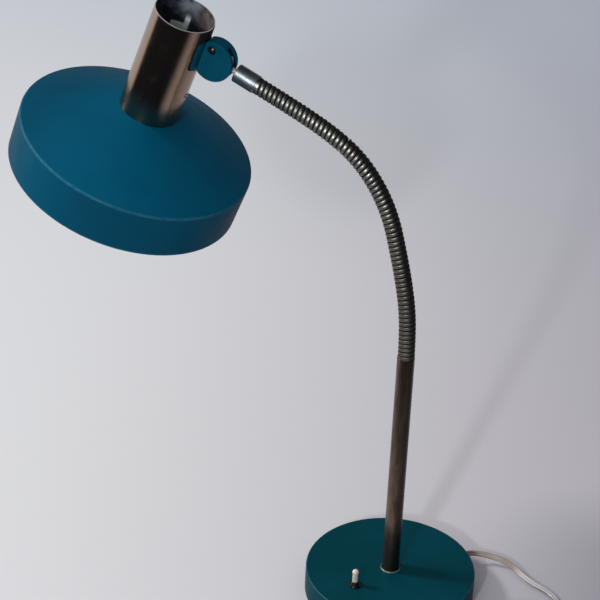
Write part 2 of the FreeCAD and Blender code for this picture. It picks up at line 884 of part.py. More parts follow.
def holder_core():
    """Ceramic insert that carries the contacts, held between cap and skirt."""
    radius = holder_radius - holder_wall - close_fit
    bottom = holder_skirt_top
    body = rod(radius, bottom, bottom + socket_core_height)
    top = bottom + socket_core_height
    hole = rod(terminal_screw_radius, bottom - overrun, top + overrun, V(radius / 2, 0, 0))
    return on_tube_axis(body.cut(hole))


def holder_skirt():
    bore = bulb_cap_radius + seat_gap + socket_shell_wall + close_fit
    return on_tube_axis(ring(holder_radius, bore, holder_mouth, holder_skirt_top))


def socket_shell():
    inner = bulb_cap_radius + seat_gap
    bottom = holder_mouth + socket_shell_wall
    return on_tube_axis(ring(inner + socket_shell_wall, inner, bottom, holder_skirt_top))


def socket_contact():
    return on_tube_axis(rod(contact_radius, holder_skirt_top - contact_height, holder_skirt_top))


def bulb_cap():
    top = holder_skirt_top - contact_height
    bottom = top - bulb_cap_height
    shell = turned([
        (0, top, 0),
        (contact_radius, top, 0),
        (bulb_cap_radius, top - contact_height, 0),
        (bulb_cap_radius, bottom, 0),
        (bulb_cap_radius - bulb_cap_wall, bottom, 0),
        (bulb_cap_radius - bulb_cap_wall, top - contact_height - bulb_cap_wall, 0),
        (contact_radius, top - bulb_cap_wall, 0),
        (0, top - bulb_cap_wall, 0),
    ])
    return on_tube_axis(shell)


def bulb_glass():
    """Pear-shaped glass shell, open where the cap closes it."""
    top = holder_skirt_top - contact_height - bulb_cap_height
    tip = top - bulb_glass_height
    centre = tip + bulb_glass_radius
    side_angle = math.radians(bulb_shoulder_angle)
    side_slope = V(math.sin(side_angle), 0, -math.cos(side_angle))

    def half_outline(inset):
        """Neck curve and round end of one side of the glass."""
        radius = bulb_glass_radius - inset
        neck_top = V(bulb_neck_radius - inset, 0, top)
        shoulder = V(radius * math.cos(side_angle), 0, centre + radius * math.sin(side_angle))
        bend = V((neck_top.x + shoulder.x) / 2 - inset, 0, (top + centre) / 2)
        middle_angle = (side_angle - math.pi / 2) / 2
        side = V(radius * math.cos(middle_angle), 0, centre + radius * math.sin(middle_angle))
        round_end = V(0, 0, tip + inset)
        neck = Part.BSplineCurve()
        neck.interpolate([neck_top, bend, shoulder], InitialTangent=-Z_AXIS, FinalTangent=side_slope)
        return neck.toShape(), Part.Arc(shoulder, side, round_end).toShape()

    outer_neck, outer_end = half_outline(0)
    inner_neck, inner_end = half_outline(bulb_glass_wall)
    tip_edge = Part.LineSegment(V(0, 0, tip), V(0, 0, tip + bulb_glass_wall)).toShape()
    mouth_start = V(bulb_neck_radius - bulb_glass_wall, 0, top)
    mouth_edge = Part.LineSegment(mouth_start, V(bulb_neck_radius, 0, top)).toShape()
    edges = [outer_neck, outer_end, tip_edge, inner_end, inner_neck, mouth_edge]
    outline = Part.Wire(Part.__sortEdges__(edges))
    return on_tube_axis(Part.Face(outline).revolve(ORIGIN, Z_AXIS, 360))


def shade():
    """Spun shade: a collar inside the tube, a shoulder, a cone, a crease and an upright band."""
    collar = tube_bore_radius - close_fit
    shoulder = tube_radius + shade_shoulder_width
    crease = junction - shade_cone_height
    rim = crease - shade_band_height
    slope = math.atan2(shade_cone_height, shade_crease_radius - shoulder)
    lift = shade_wall / math.cos(slope)
    body = turned([
        (collar, junction + shade_collar_height, 0),
        (collar, junction, 0),
        (shoulder, junction, 0),
        (shade_crease_radius, crease, shade_crease_softness + shade_wall),
        (shade_rim_radius, rim, 0),
        (shade_rim_radius - shade_wall, rim, 0),
        (shade_crease_radius - shade_wall, crease - lift / 2, shade_crease_softness),
        (shoulder, junction - lift, 0),
        (collar - shade_wall, junction - lift, 0),
        (collar - shade_wall, junction + shade_collar_height, 0),
    ])
    bead_centre = shade_rim_radius - shade_bead_radius
    bead = Part.makeTorus(bead_centre, shade_bead_radius, V(0, 0, rim))
    body = body.fuse(bead)
    height = V(0, 0, junction + shade_screw_height)
    reach = X_AXIS * tube_radius
    holes = rod_along(shade_screw_radius + close_fit, height - reach, height + reach)
    return on_tube_axis(body.cut(holes))


def shade_screws():
    screws = []
    for side in (-1, 1):
        outwards = X_AXIS * side
        middle = V(tube_axis_x, 0, junction + shade_screw_height)
        surface = middle + outwards * (tube_radius + close_fit)
        dome = domed_head(shade_screw_head_radius, shade_screw_head_height)
        shank = rod_along(shade_screw_radius, surface - outwards * shade_screw_length, surface)
        screws.append(placed(dome, surface, Z_AXIS, outwards).fuse(shank))
    return Part.makeCompound(screws)


def holder_lead():
    """Pale lead from the knuckle through the tube's wall and down into the holder's nipple."""
    top = bracket_foot_top + holder_nut_thickness + nipple_projection
    points = [
        V(-knuckle_flat_distance + knuckle_wall, 0, 0),
        V(tube_axis_x + 2 * tube_bore_radius / 3, 0, 0),
        V(tube_axis_x + tube_bore_radius / 4, 0, head_lead_rise),
        V(tube_axis_x, 0, head_lead_rise),
        V(tube_axis_x, 0, top - nipple_projection),
    ]
    wire, used = path_wire(points)
    return tube_along(wire, head_lead_radius, points[0], points[1] - points[0])


# Switch

def switch_body():
    top = cover_underside
    bottom = top - switch_body_height
    body = rod(switch_body_radius, bottom, top, switch_place)
    neck_top = base_height + switch_neck_height
    body = body.fuse(rod(switch_neck_radius, top - overrun, neck_top, switch_place))
    bore_bottom = base_height + switch_neck_height - button_depth - button_travel - loose_gap
    return body.cut(rod(button_radius + close_fit, bore_bottom, neck_top + overrun, switch_place))


def switch_nut():
    inner = switch_neck_radius + close_fit
    top = base_height + switch_nut_height
    edge = (switch_nut_radius - inner) / 2
    nut = turned([
        (inner, base_height, 0),
        (switch_nut_radius, base_height, 0),
        (switch_nut_radius, top, edge),
        (inner, top, 0),
    ])
    nut.translate(switch_place)
    return nut


def switch_button():
    base = base_height + switch_neck_height
    shaft_top = base + button_height
    shaft = rod(button_radius, base - button_depth, shaft_top, switch_place)
    head = turned([
        (0, shaft_top, 0),
        (button_head_radius, shaft_top, 0),
        (button_head_radius, shaft_top + button_head_height, button_head_radius / 2),
        (0, shaft_top + button_head_height, 0),
    ])
    head.translate(switch_place)
    return shaft.fuse(head)


# Cord entry and wiring

def cord_bush():
    outer_face = base_radius + bush_flange_thickness + bush_nose_length
    inner_seat = math.sqrt(cover_inner_radius ** 2 - bush_flange_radius ** 2) - close_fit
    inner_face = inner_seat - bush_flange_thickness
    bore = cord_radius + seat_gap
    profile = turned([
        (bore, inner_face, 0),
        (bush_flange_radius, inner_face, 0),
        (bush_flange_radius, inner_seat, 0),
        (bush_neck_radius, inner_seat, 0),
        (bush_neck_radius, base_radius + seat_gap, 0),
        (bush_flange_radius, base_radius + seat_gap, 0),
        (bush_flange_radius, outer_face - bush_nose_length, bush_nose_length / 2),
        (bush_nose_radius, outer_face, 0),
        (bore, outer_face, 0),
    ])
    return placed(profile, V(0, 0, cord_exit_height), Z_AXIS, cord_out)


def cord_mouth():
    """Where the free cord starts, on the bush's outer face."""
    reach = base_radius + bush_flange_thickness + bush_nose_length
    return cord_out * reach + V(0, 0, cord_exit_height)


def cord_tail():
    """The cord's end inside the base, from the bush's face down to the terminal block."""
    run = terminal_distance + terminal_length / 2
    level = plate_top + terminal_height / 2
    end = cord_out * run + V(0, 0, level)
    points = [cord_mouth(), cord_out * (clamp_distance - clamp_width / 2) + V(0, 0, cord_exit_height)]
    points.append(cord_out * (run + clamp_width / 2) + V(0, 0, level))
    points.append(end)
    wire, used = path_wire(points)
    return tube_along(wire, cord_radius, points[0], points[0] - points[1])


def terminal_block():
    block = Part.makeBox(terminal_length, terminal_width, terminal_height)
    block.translate(V(terminal_distance - terminal_length / 2, -terminal_width / 2, plate_top))
    cuts = []
    top = plate_top + terminal_height
    for along in (-1, 1):
        for side in (-1, 1):
            place = V(terminal_distance + along * terminal_length / 4, side * terminal_width / 4, 0)
            cuts.append(rod(terminal_screw_radius, top - terminal_bore_depth, top + overrun, place))
    block = block.cut(cuts)
    block.rotate(ORIGIN, Z_AXIS, cord_exit_angle)
    return block


def terminal_screws():
    """Four grub screws in the block's bores."""
    screws = []
    top = plate_top + terminal_height
    for along in (-1, 1):
        for side in (-1, 1):
            place = V(terminal_distance + along * terminal_length / 4, side * terminal_width / 4, 0)
            radius = terminal_screw_radius - close_fit
            screws.append(rod(radius, top - terminal_bore_depth, top - overrun, place))
    group = Part.makeCompound(screws)
    group.rotate(ORIGIN, Z_AXIS, cord_exit_angle)
    return group


def cord_clamp():
    """Bridge over the cord's end, spot-welded to the base plate."""
    inner_half = cord_radius + close_fit
    outer_half = inner_half + clamp_thickness
    inner_top = cord_exit_height + cord_radius + close_fit
    near = clamp_distance - clamp_width / 2
    far = clamp_distance + clamp_width / 2
    foot = plate_top + clamp_thickness
    points = [
        (-outer_half - clamp_ear, plate_top, 0),
        (-inner_half, plate_top, 0),
        (-inner_half, inner_top, 0),
        (inner_half, inner_top, 0),
        (inner_half, plate_top, 0),
        (outer_half + clamp_ear, plate_top, 0),
        (outer_half + clamp_ear, foot, 0),
        (outer_half, foot, 0),
        (outer_half, inner_top + clamp_thickness, 0),
        (-outer_half, inner_top + clamp_thickness, 0),
        (-outer_half, foot, 0),
        (-outer_half - clamp_ear, foot, 0),
    ]
    bridge = side_plate(points, near, far)
    bridge.rotate(ORIGIN, Z_AXIS, cord_exit_angle - 90)
    return bridge


def inner_leads():
    """Thin leads under the weight, one pair up the stem and one pair to the switch."""
    level = plate_top + lead_radius + seat_gap
    tubes = []
    start_distance = terminal_distance - terminal_length / 2 - seat_gap
    switch_bottom = cover_underside - switch_body_height
    for side in (-1, 1):
        offset = cord_side * (side * lead_spacing / 2)
        start = cord_out * start_distance + offset + V(0, 0, level)
        foot = offset + V(0, 0, level)
        top = offset + V(0, 0, stem_top - socket_length - overrun)
        wire, used = path_wire([start, foot, top], lead_bend_radius)
        tubes.append(tube_along(wire, lead_radius, start, foot - start))
        start = cord_out * start_distance + cord_side * (side * switch_lead_spacing / 2) + V(0, 0, level)
        foot = switch_place + cord_side * (side * switch_terminal_spacing / 2) + V(0, 0, level)
        top = V(foot.x, foot.y, switch_bottom)
        wire, used = path_wire([start, foot, top], lead_bend_radius)
        tubes.append(tube_along(wire, lead_radius, start, foot - start))
    return Part.makeCompound(tubes)


# Cord, coil and plug

def free_cord_points():
    end = cord_route_end()
    mouth = cord_mouth()
    return [mouth, mouth + cord_out * cord_first_run] + cord_route + [end + V(0, cord_last_run, 0), end]


def coil_layer_heights():
    first = cord_radius + tie_thickness + tie_gap
    return first, first + cord_diameter + coil_turn_gap


def coil_outer_radius():
    pitch = cord_diameter + coil_turn_gap
    return coil_mean_radius + coil_turns_per_layer * pitch / 2


def cord_route_end():
    low, high = coil_layer_heights()
    return coil_centre + V(-coil_outer_radius(), 0, low)


def coil_half_turns():
    """End points of the coil's half turns: in on the lower layer, up, and out on the upper one."""
    pitch = cord_diameter + coil_turn_gap
    low, high = coil_layer_heights()
    point = cord_route_end()
    radius = coil_outer_radius() - pitch / 4
    side = 1
    points = [point]
    for i in range(2 * coil_turns_per_layer):
        point = point + V(side * 2 * radius, 0, 0)
        points.append(point)
        side = -side
        radius = radius - pitch / 2
    point = V(point.x + side * 2 * radius, point.y, high)
    points.append(point)
    side = -side
    for i in range(2 * coil_turns_per_layer - 1):
        radius = radius + pitch / 2
        point = point + V(side * 2 * radius, 0, 0)
        points.append(point)
        side = -side
    return points


def coil_edges():
    points = coil_half_turns()
    heading = V(0, -1, 0)
    edges = []
    for start, end in zip(points, points[1:]):
        middle = (start + end) * 0.5 + heading * ((end - start).Length / 2)
        edges.append(Part.Arc(start, middle, end).toShape())
        heading = heading * -1
    lead_in = Part.LineSegment(points[0] + V(0, cord_diameter, 0), points[0]).toShape()
    lead_out = Part.LineSegment(points[-1], points[-1] + heading * cord_diameter).toShape()
    return [lead_in] + edges + [lead_out], heading


def coil_gap(edges):
    """Least gap between the coil's turns, measured on points along its line."""
    samples = []
    travelled = 0
    for edge in edges:
        count = max(2, int(edge.Length / cord_radius))
        points = edge.discretize(count)
        for i in range(count - 1):
            samples.append((travelled + edge.Length * i / (count - 1), points[i]))
        travelled += edge.Length
    least = travelled
    for i, (along, point) in enumerate(samples):
        for other_along, other in samples[i + 1:]:
            if other_along - along > 5 * cord_diameter:
                least = min(least, (point - other).Length)
    return least - cord_diameter


def cord_coil():
    edges, heading = coil_edges()
    wire = Part.Wire(edges)
    start = edges[0].Vertexes[0].Point
    solid = tube_along(wire, cord_radius, start, V(0, -1, 0))
    print("coil gap", round(coil_gap(edges), 2), "length", round(wire.Length, 1))
    return solid


def power_cord():
    points = free_cord_points()
    coil_start = points[-1] + V(0, cord_diameter, 0)
    points[-1] = coil_start
    wire, used = path_wire(points)
    print("cord radii", [round(r, 1) for r in used], "length", round(wire.Length, 1))
    solid = tube_along(wire, cord_radius, points[0], points[1] - points[0])
    wanted = math.pi * cord_radius * cord_radius * wire.Length
    print("cord volume ratio", round(solid.Volume / wanted, 4))
    return solid


def plug_lead_points():
    """Route from the coil's end to the plug, whose entry is at half the plug's thickness."""
    edges, heading = coil_edges()
    start = edges[-1].Vertexes[-1].Point
    points = [start] + [start + step for step in plug_lead_steps]
    for point in points[-2:]:
        point.z = plug_thickness / 2
    return points


def plug_lead():
    points = plug_lead_points()
    wire, used = path_wire(points)
    print("plug lead radii", [round(r, 1) for r in used], "length", round(wire.Length, 1))
    return tube_along(wire, cord_radius, points[0], points[1] - points[0])


def plug_frame(shape):
    """Place a shape made with the cord's entry at the origin and the pins towards +X."""
    return placed(shape, plug_lead_points()[-1], V(0, -1, 0), Z_AXIS)


def plug_body():
    half = plug_width / 2
    back = plug_back_width / 2
    front = plug_sleeve_length + plug_length
    body = plate([
        (plug_sleeve_length, -back, plug_corner_radius),
        (front - plug_straight_length, -half, plug_corner_radius),
        (front, -half, plug_corner_radius),
        (front, half, plug_corner_radius),
        (front - plug_straight_length, half, plug_corner_radius),
        (plug_sleeve_length, back, plug_corner_radius),
    ], plug_thickness)
    body.translate(V(0, 0, -plug_thickness / 2))
    sleeve = Part.makeCone(
        plug_sleeve_tip_radius,
        plug_sleeve_root_radius,
        plug_sleeve_length + plug_corner_radius,
        ORIGIN,
        X_AXIS,
    )
    body = body.fuse(sleeve)
    cuts = []
    for side in (-1, 1):
        place = V(front - plug_pin_seat, side * plug_pin_spacing / 2, 0)
        cuts.append(rod_along(plug_pin_radius + close_fit, place, place + X_AXIS * (plug_pin_seat + overrun)))
    return plug_frame(body.cut(cuts))


def plug_pins():
    front = plug_sleeve_length + plug_length
    pins = []
    for side in (-1, 1):
        place = V(front - plug_pin_seat + seat_gap, side * plug_pin_spacing / 2, 0)
        pins.append(rod_along(plug_pin_radius, place, V(front + plug_pin_length, place.y, 0)))
    return plug_frame(Part.makeCompound(pins))


def cord_tie():
    """Strap round the coil's bundle on the side away from the base."""
    low, high = coil_layer_heights()
    pitch = cord_diameter + coil_turn_gap
    outer = coil_outer_radius() + cord_radius + tie_gap
    inner = coil_outer_radius() - (coil_turns_per_layer + 0.5) * pitch - cord_radius - tie_gap
    bottom = low - cord_radius - tie_gap
    top = high + cord_radius + tie_gap
    corner = cord_radius

    def loop(margin):
        return side_plate([
            (inner - margin, bottom - margin, corner + margin),
            (outer + margin, bottom - margin, corner + margin),
            (outer + margin, top + margin, corner + margin),
            (inner - margin, top + margin, corner + margin),
        ], -tie_width / 2, tie_width / 2)

    strap = loop(tie_thickness).cut(loop(0))
    strap.rotate(ORIGIN, Z_AXIS, -45)
    strap.translate(coil_centre)
    return strap


# Placing of the neck's end and of the head

starts = neck_frames()
neck_end, neck_end_angle, last_bend = starts[-1]
neck_direction = V(-math.cos(neck_end_angle), 0, math.sin(neck_end_angle))
hinge = neck_end + neck_direction * (ferrule_length + ferrule_to_hinge)
lean = math.radians(head_tilt)
head_x = V(math.cos(lean), 0, -math.sin(lean))
head_z = V(math.sin(lean), 0, math.cos(lean))


def on_head(shape):
    return placed(shape, hinge, head_x, head_z)


def build():
    parts = {
        "base_cover": base_cover(),
        "base_weight": base_weight(),
        "base_plate": base_plate(),
        "plate_screws": plate_screws(),
        "felt_pad": felt_pad(),
        "stem": stem(),
        "foot_collar": foot_collar(),
        "stem_foot_plug": stem_foot_plug(),
        "stem_nipple": stem_nipple(),
        "stem_washer": stem_washer(),
        "stem_nut": stem_nut(),
        "neck_socket": neck_socket(),
        "switch_body": switch_body(),
        "switch_nut": switch_nut(),
        "switch_button": switch_button(),
        "cord_bush": cord_bush(),
        "cord_tail": cord_tail(),
        "cord_clamp": cord_clamp(),
        "terminal_block": terminal_block(),
        "terminal_screws": terminal_screws(),
        "inner_leads": inner_leads(),
        "power_cord": power_cord(),
        "cord_coil": cord_coil(),
        "cord_tie": cord_tie(),
        "plug_lead": plug_lead(),
        "plug_body": plug_body(),
        "plug_pins": plug_pins(),
    }
    for i in range(neck_segments):
        parts["neck_segment_%02d" % (i + 1)] = neck_segment(starts[i], i == 0, i == neck_segments - 1)
    parts["ferrule"] = placed(ferrule(), neck_end, Y_AXIS, neck_direction)
    parts["tongue"] = placed(tongue(), hinge, neck_direction * -1, V(0, -1, 0))
    for make in (
        knuckle_housing, knuckle_cover, pivot_pin, friction_washers, clamp_screw, knuckle_pad, knuckle_screws,
        head_tube, holder_bracket, holder_nipple, holder_nut, holder_cap, holder_core, holder_skirt,
        socket_shell, socket_contact, holder_lead, bulb_cap, bulb_glass, shade, shade_screws,
    ):
        parts[make.__name__] = on_head(make())
    return parts


os.makedirs("parts", exist_ok=True)
for name, shape in build().items():
    if not shape.isValid():
        print("not valid:", name)
    shape.exportStep("parts/" + name + ".step")
print("hinge", [round(v, 2) for v in hinge])
for number, start in enumerate(starts):
    print("neck hinge", number, [round(v, 2) for v in start[0]], round(math.degrees(start[1]), 3))
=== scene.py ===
import json
import math

import bmesh
import bpy
from mathutils import Matrix, Vector


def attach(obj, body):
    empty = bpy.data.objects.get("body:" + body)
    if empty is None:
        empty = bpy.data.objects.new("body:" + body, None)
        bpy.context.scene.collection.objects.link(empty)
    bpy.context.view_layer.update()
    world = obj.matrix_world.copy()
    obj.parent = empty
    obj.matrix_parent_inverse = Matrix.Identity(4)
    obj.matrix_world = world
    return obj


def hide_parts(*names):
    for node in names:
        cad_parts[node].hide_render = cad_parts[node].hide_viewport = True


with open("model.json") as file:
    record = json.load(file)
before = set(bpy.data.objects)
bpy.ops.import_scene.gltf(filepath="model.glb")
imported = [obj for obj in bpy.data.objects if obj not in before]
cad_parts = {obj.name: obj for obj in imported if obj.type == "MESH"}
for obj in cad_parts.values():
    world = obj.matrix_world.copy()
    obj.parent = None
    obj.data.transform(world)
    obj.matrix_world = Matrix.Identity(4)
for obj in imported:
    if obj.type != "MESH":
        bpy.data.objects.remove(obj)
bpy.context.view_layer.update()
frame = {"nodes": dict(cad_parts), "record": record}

# Lengths are in metres, and angles in degrees unless a comment says radians.
MM = 0.001
UP = Vector((0, 0, 1))
BACK = Vector((0, 1, 0))

# The base, the stem and the switch
BASE_RADIUS = 80.0 * MM
BASE_HEIGHT = 26.0 * MM
STEM_TOP = 261.5 * MM
STEM_RADIUS = 8.0 * MM
COLLAR_GAP = 0.03 * MM
COLLAR_WIDTH = 1.3 * MM
COLLAR_HEIGHT = 1.4 * MM
SWITCH_AT = Vector((-19.805, -40.073, 26.0)) * MM
SWITCH_EDGE = 0.3 * MM
NUT_RADIUS = 6.1 * MM
NUT_LIP_RADIUS = 3.5 * MM
NUT_HOLE_RADIUS = 2.95 * MM
NUT_SKIRT = 1.4 * MM
NUT_HEIGHT = 4.9 * MM
BUTTON_TOP = 18.0 * MM
BUTTON_DEPTH = 5.6 * MM
BUTTON_RADIUS = 3.05 * MM
BUTTON_SHAFT_RADIUS = 2.65 * MM
BUTTON_HEAD = 3.6 * MM

# The head. Heights run along the tube's axis, from the level of the hinge.
HINGE = Vector((-194.83, 0, 509.84)) * MM
HEAD_TILT = 19.1
TUBE_AXIS = -40.0 * MM
TUBE_RADIUS = 27.5 * MM
TUBE_WALL = 1.0 * MM
TUBE_TOP = 24.8 * MM
TUBE_EDGE = 0.25 * MM
JUNCTION = -79.3 * MM
CREASE = -116.0 * MM
CREASE_ROUND = 2.6 * MM
RIM = -158.3 * MM
BEAD_RADIUS = 1.3 * MM
BEAD_TURN = 210
SHADE_COLLAR = 37.0 * MM
SHADE_FIT = 0.05 * MM
SHADE_SHOULDER = 29.1 * MM
SHADE_CREASE_RADIUS = 108.8 * MM
SHADE_RIM_RADIUS = 107.8 * MM
SHADE_WALL = 1.1 * MM

# The knuckle's pad and foot, which wrap round the tube: half the width, the low and the high end,
# and how far the inner and the outer face stand off the tube
PAD_SIZES = (14.6 * MM, -16.8 * MM, 22.5 * MM, -0.02 * MM, 0.6 * MM)
FOOT_SIZES = (12.6 * MM, -15.6 * MM, 12.5 * MM, 0.5 * MM, 1.25 * MM)
SADDLE_CORNER = 4 * MM
SADDLE_CUTS = 24
SADDLE_EDGE_SHARE = 0.4

# The gooseneck. Its stretches nest by ball and cup, and their end faces slope back to let them bend.
RIB_PITCH = 4.39 * MM
RIBS_PER_SEGMENT = 7
SEGMENT = RIB_PITCH * RIBS_PER_SEGMENT
NECK_BEND = 68.7
BEND_SHARES = (0.05, 0.105, 0.05, 0.025, 0.17, 0.19, 0.245, 0.125, 0.035, 0.005)
NECK_LENGTH = len(BEND_SHARES) * SEGMENT
NECK_RADIUS = 7.75 * MM
GROOVE_DEPTH = 1.45 * MM
ROWS_PER_RIB = 10
NECK_SLOPE = 3.2
NECK_BALL = 5.5 * MM
NECK_CUP = 5.7 * MM
# The angle round the neck at which a stretch ends in a groove, and the photograph's left
GROOVE_FACES = -62.0
NECK_LEFT = Vector((-0.88, -0.2, -0.42))

# Sides of the turned pieces
SHADE_SIDES = 180
TUBE_SIDES = 160
COLLAR_SIDES = 96
NUT_SIDES = 64
BUTTON_SIDES = 48
NECK_SIDES = 40

# The flat twin flex. The web joins the lobes where they are this angle from the line between them.
FLEX_WIDTH = 5.4 * MM
FLEX_LOBE = FLEX_WIDTH / 4
FLEX_WEB_ANGLE = 40.6834
FLEX_TWISTS = (48, 48, 48, 48, 50, 50, 40, 20)
FLEX_CURVE_STEPS = 6
COIL_CENTRE = Vector((203.0, -4.0, 0)) * MM
COIL_RADIUS = 41.8 * MM
COIL_PITCH = 5.9 * MM
COIL_LOW = 3.8 * MM
COIL_HIGH = 9.7 * MM
COIL_TURNS = 4
COIL_POINTS = 10
FLEX_START = Vector((48.491, 66.743, 12.0)) * MM
FLEX_ROUTE = (
    (53.193, 73.215, 12.0), (62.0, 78.4, 11.0), (74.0, 80.8, 9.6), (87.5, 82.2, 7.9),
    (98.5, 79.2, 6.0), (109.0, 72.4, 4.3), (122.5, 66.2, 3.3), (138.0, 61.8, 2.9),
    (150.6, 53.4, 2.9), (158.6, 38.4, 3.0), (161.2, 13.0, 3.8),
)
PLUG_STEPS = (
    (0, -14.0, 0), (-4.0, -31.0, -3.2), (-12.0, -50.0, -6.4), (-19.0, -68.0, -5.4),
    (-21.0, -83.0, -2.85), (-21.0, -96.0, -2.85),
)

# The camera, solved from the photograph's outlines
CAMERA_AT = Vector((0.5729, -1.6342, 1.3433))
CAMERA_HEADING = 22.5328
CAMERA_PITCH = 30.7257
CAMERA_ROLL = 2.6313
CAMERA_REACH = 50
FOCAL_SHARE = 3.80105
SENSOR = 36.0

# The studio lights, which point at the lamp's middle: name, place, width and height, power, colour
LAMP_MIDDLE = Vector((-0.1, 0, 0.25))
LIGHTS = (
    ("key_light", (-6.7, -1.4, 5.45), (1.7, 1.7), 530, (1.0, 0.98, 0.95)),
    ("front_light", (0.16, -2.75, 1.57), (0.18, 0.18), 33, (0.96, 0.98, 1.0)),
    ("strip_light", (0.1, -2.65, 1.75), (2.2, 0.1), 11, (0.94, 0.98, 1.0)),
)
FLOOR_SIZE = 12

# Distances within which doubled corners are merged
MERGE = 1e-6
FINE_MERGE = 1e-7
# The least turn that stays a visible edge on a dressed node
DRESSED_EDGE = 32


# Camera

def add_camera():
    heading, pitch, roll = (math.radians(a) for a in (CAMERA_HEADING, CAMERA_PITCH, CAMERA_ROLL))
    ahead = Vector((-math.sin(heading), math.cos(heading), 0))
    level_right = Vector((math.cos(heading), math.sin(heading), 0))
    forward = ahead * math.cos(pitch) - UP * math.sin(pitch)
    level_up = level_right.cross(forward)
    right = level_right * math.cos(roll) + level_up * math.sin(roll)
    above = level_up * math.cos(roll) - level_right * math.sin(roll)
    turn = Matrix((right, above, -forward)).transposed().to_4x4()
    data = bpy.data.cameras.new("photo_camera")
    data.sensor_width = SENSOR
    data.lens = SENSOR * FOCAL_SHARE
    data.clip_end = CAMERA_REACH
    camera = bpy.data.objects.new("photo_camera", data)
    camera.matrix_world = Matrix.Translation(CAMERA_AT) @ turn
    bpy.context.collection.objects.link(camera)
    bpy.context.scene.camera = camera


add_camera()


# Finishes

# The Mix node's sockets for colours
MIX_MASK, MIX_FIRST, MIX_SECOND, MIX_COLOUR = 0, 6, 7, 2


class Wire:
    """An output socket of a finish. Arithmetic on it adds Math nodes."""

    def __init__(self, finish, socket):
        self.finish = finish
        self.socket = socket

    def math(self, operation, first, second):
        return self.finish.add("ShaderNodeMath", {"operation": operation}, {0: first, 1: second})

    def __add__(self, other):
        return self.math("ADD", self, other)

    def __sub__(self, other):
        return self.math("SUBTRACT", self, other)

    def __rsub__(self, other):
        return self.math("SUBTRACT", other, self)

    def __mul__(self, other):
        return self.math("MULTIPLY", self, other)

    def __truediv__(self, other):
        return self.math("DIVIDE", self, other)

    def __pow__(self, other):
        return self.math("POWER", self, other)

    __radd__ = __add__
    __rmul__ = __mul__

    def most(self, other):
        return self.math("MAXIMUM", self, other)

    def ramp(self, low, high):
        """Nought at low, one at high, and smooth between them."""
        limits = {"Value": self, "From Min": low, "From Max": high}
        return self.finish.add("ShaderNodeMapRange", {"interpolation_type": "SMOOTHSTEP"}, limits)

    def between(self, low, high, soft):
        """One from low to high, with soft edges outside them."""
        return self.ramp(low - soft, low) * self.ramp(high + soft, high)


class Finish:
    """A procedural finish on a Principled shader."""

    def __init__(self, name):
        self.material = bpy.data.materials.new(name)
        self.material.use_nodes = True
        self.tree = self.material.node_tree
        self.shader = self.tree.nodes["Principled BSDF"]

    def feed(self, socket, value):
        """Gives a socket a wire, a colour or a plain value."""
        if isinstance(value, Wire):
            self.tree.links.new(value.socket, socket)
        elif socket.type == "RGBA":
            socket.default_value = (*value, 1)
        else:
            socket.default_value = value

    def add(self, kind, settings=None, values=None, out=0):
        """Adds a node: its settings first, and then the values or wires of its sockets."""
        node = self.tree.nodes.new(kind)
        for key, value in (settings or {}).items():
            setattr(node, key, value)
        for key, value in (values or {}).items():
            self.feed(node.inputs[key], value)
        return Wire(self, node.outputs[out])

    def set(self, **values):
        """Feeds the shader's own sockets. An underscore stands for a space in a socket's name."""
        for key, value in values.items():
            self.feed(self.shader.inputs[key.replace("_", " ")], value)

    def place(self):
        return self.add("ShaderNodeTexCoord", out="Object")

    def ray(self, kind):
        return self.add("ShaderNodeLightPath", out=kind)

    def attribute(self, name):
        return self.add("ShaderNodeAttribute", {"attribute_name": name}, out="Fac")

    def split(self, vector):
        node = self.add("ShaderNodeSeparateXYZ", None, {0: vector}).socket.node
        return [Wire(self, output) for output in node.outputs]

    def vector_math(self, operation, first, second=(0, 0, 0), out=0):
        return self.add("ShaderNodeVectorMath", {"operation": operation}, {0: first, 1: second}, out)

    def dot(self, vector, direction):
        return self.vector_math("DOT_PRODUCT", vector, direction, "Value")

    def shifted(self, vector, move):
        return self.vector_math("SUBTRACT", vector, move)

    def stretched(self, vector, factors):
        return self.vector_math("MULTIPLY", vector, factors)

    def length(self, vector):
        return self.vector_math("LENGTH", vector, out="Value")

    def height_along(self, origin, axis):
        """Height along an axis from a point on it."""
        return self.dot(self.shifted(self.place(), tuple(origin)), tuple(axis))

    def distance_from(self, origin, axis):
        """Distance from an axis through a point."""
        offset = self.shifted(self.place(), tuple(origin))
        height = {0: tuple(axis), "Scale": self.dot(offset, tuple(axis))}
        along = self.add("ShaderNodeVectorMath", {"operation": "SCALE"}, height)
        return self.length(self.vector_math("SUBTRACT", offset, along))

    def noise(self, size, detail=3.0, rough=0.5, vector=None, distortion=0.0):
        """Noise whose largest features are about the given size."""
        values = {"Scale": 1 / size, "Detail": detail, "Roughness": rough, "Distortion": distortion}
        values["Vector"] = self.place() if vector is None else vector
        return self.add("ShaderNodeTexNoise", None, values)

    def cells(self, size):
        """Distance from the middles of cells of the given size, for specks and pits."""
        values = {"Scale": 1 / size, "Vector": self.place()}
        return self.add("ShaderNodeTexVoronoi", {"feature": "F1"}, values, "Distance")

    def mix(self, mask, first, second):
        """Colour between the first and the second, by a mask."""
        values = {MIX_MASK: mask, MIX_FIRST: first, MIX_SECOND: second}
        return self.add("ShaderNodeMix", {"data_type": "RGBA"}, values, MIX_COLOUR)

    def bump(self, height, depth, strength):
        values = {"Height": height, "Distance": depth, "Strength": strength}
        return self.add("ShaderNodeBump", None, values)


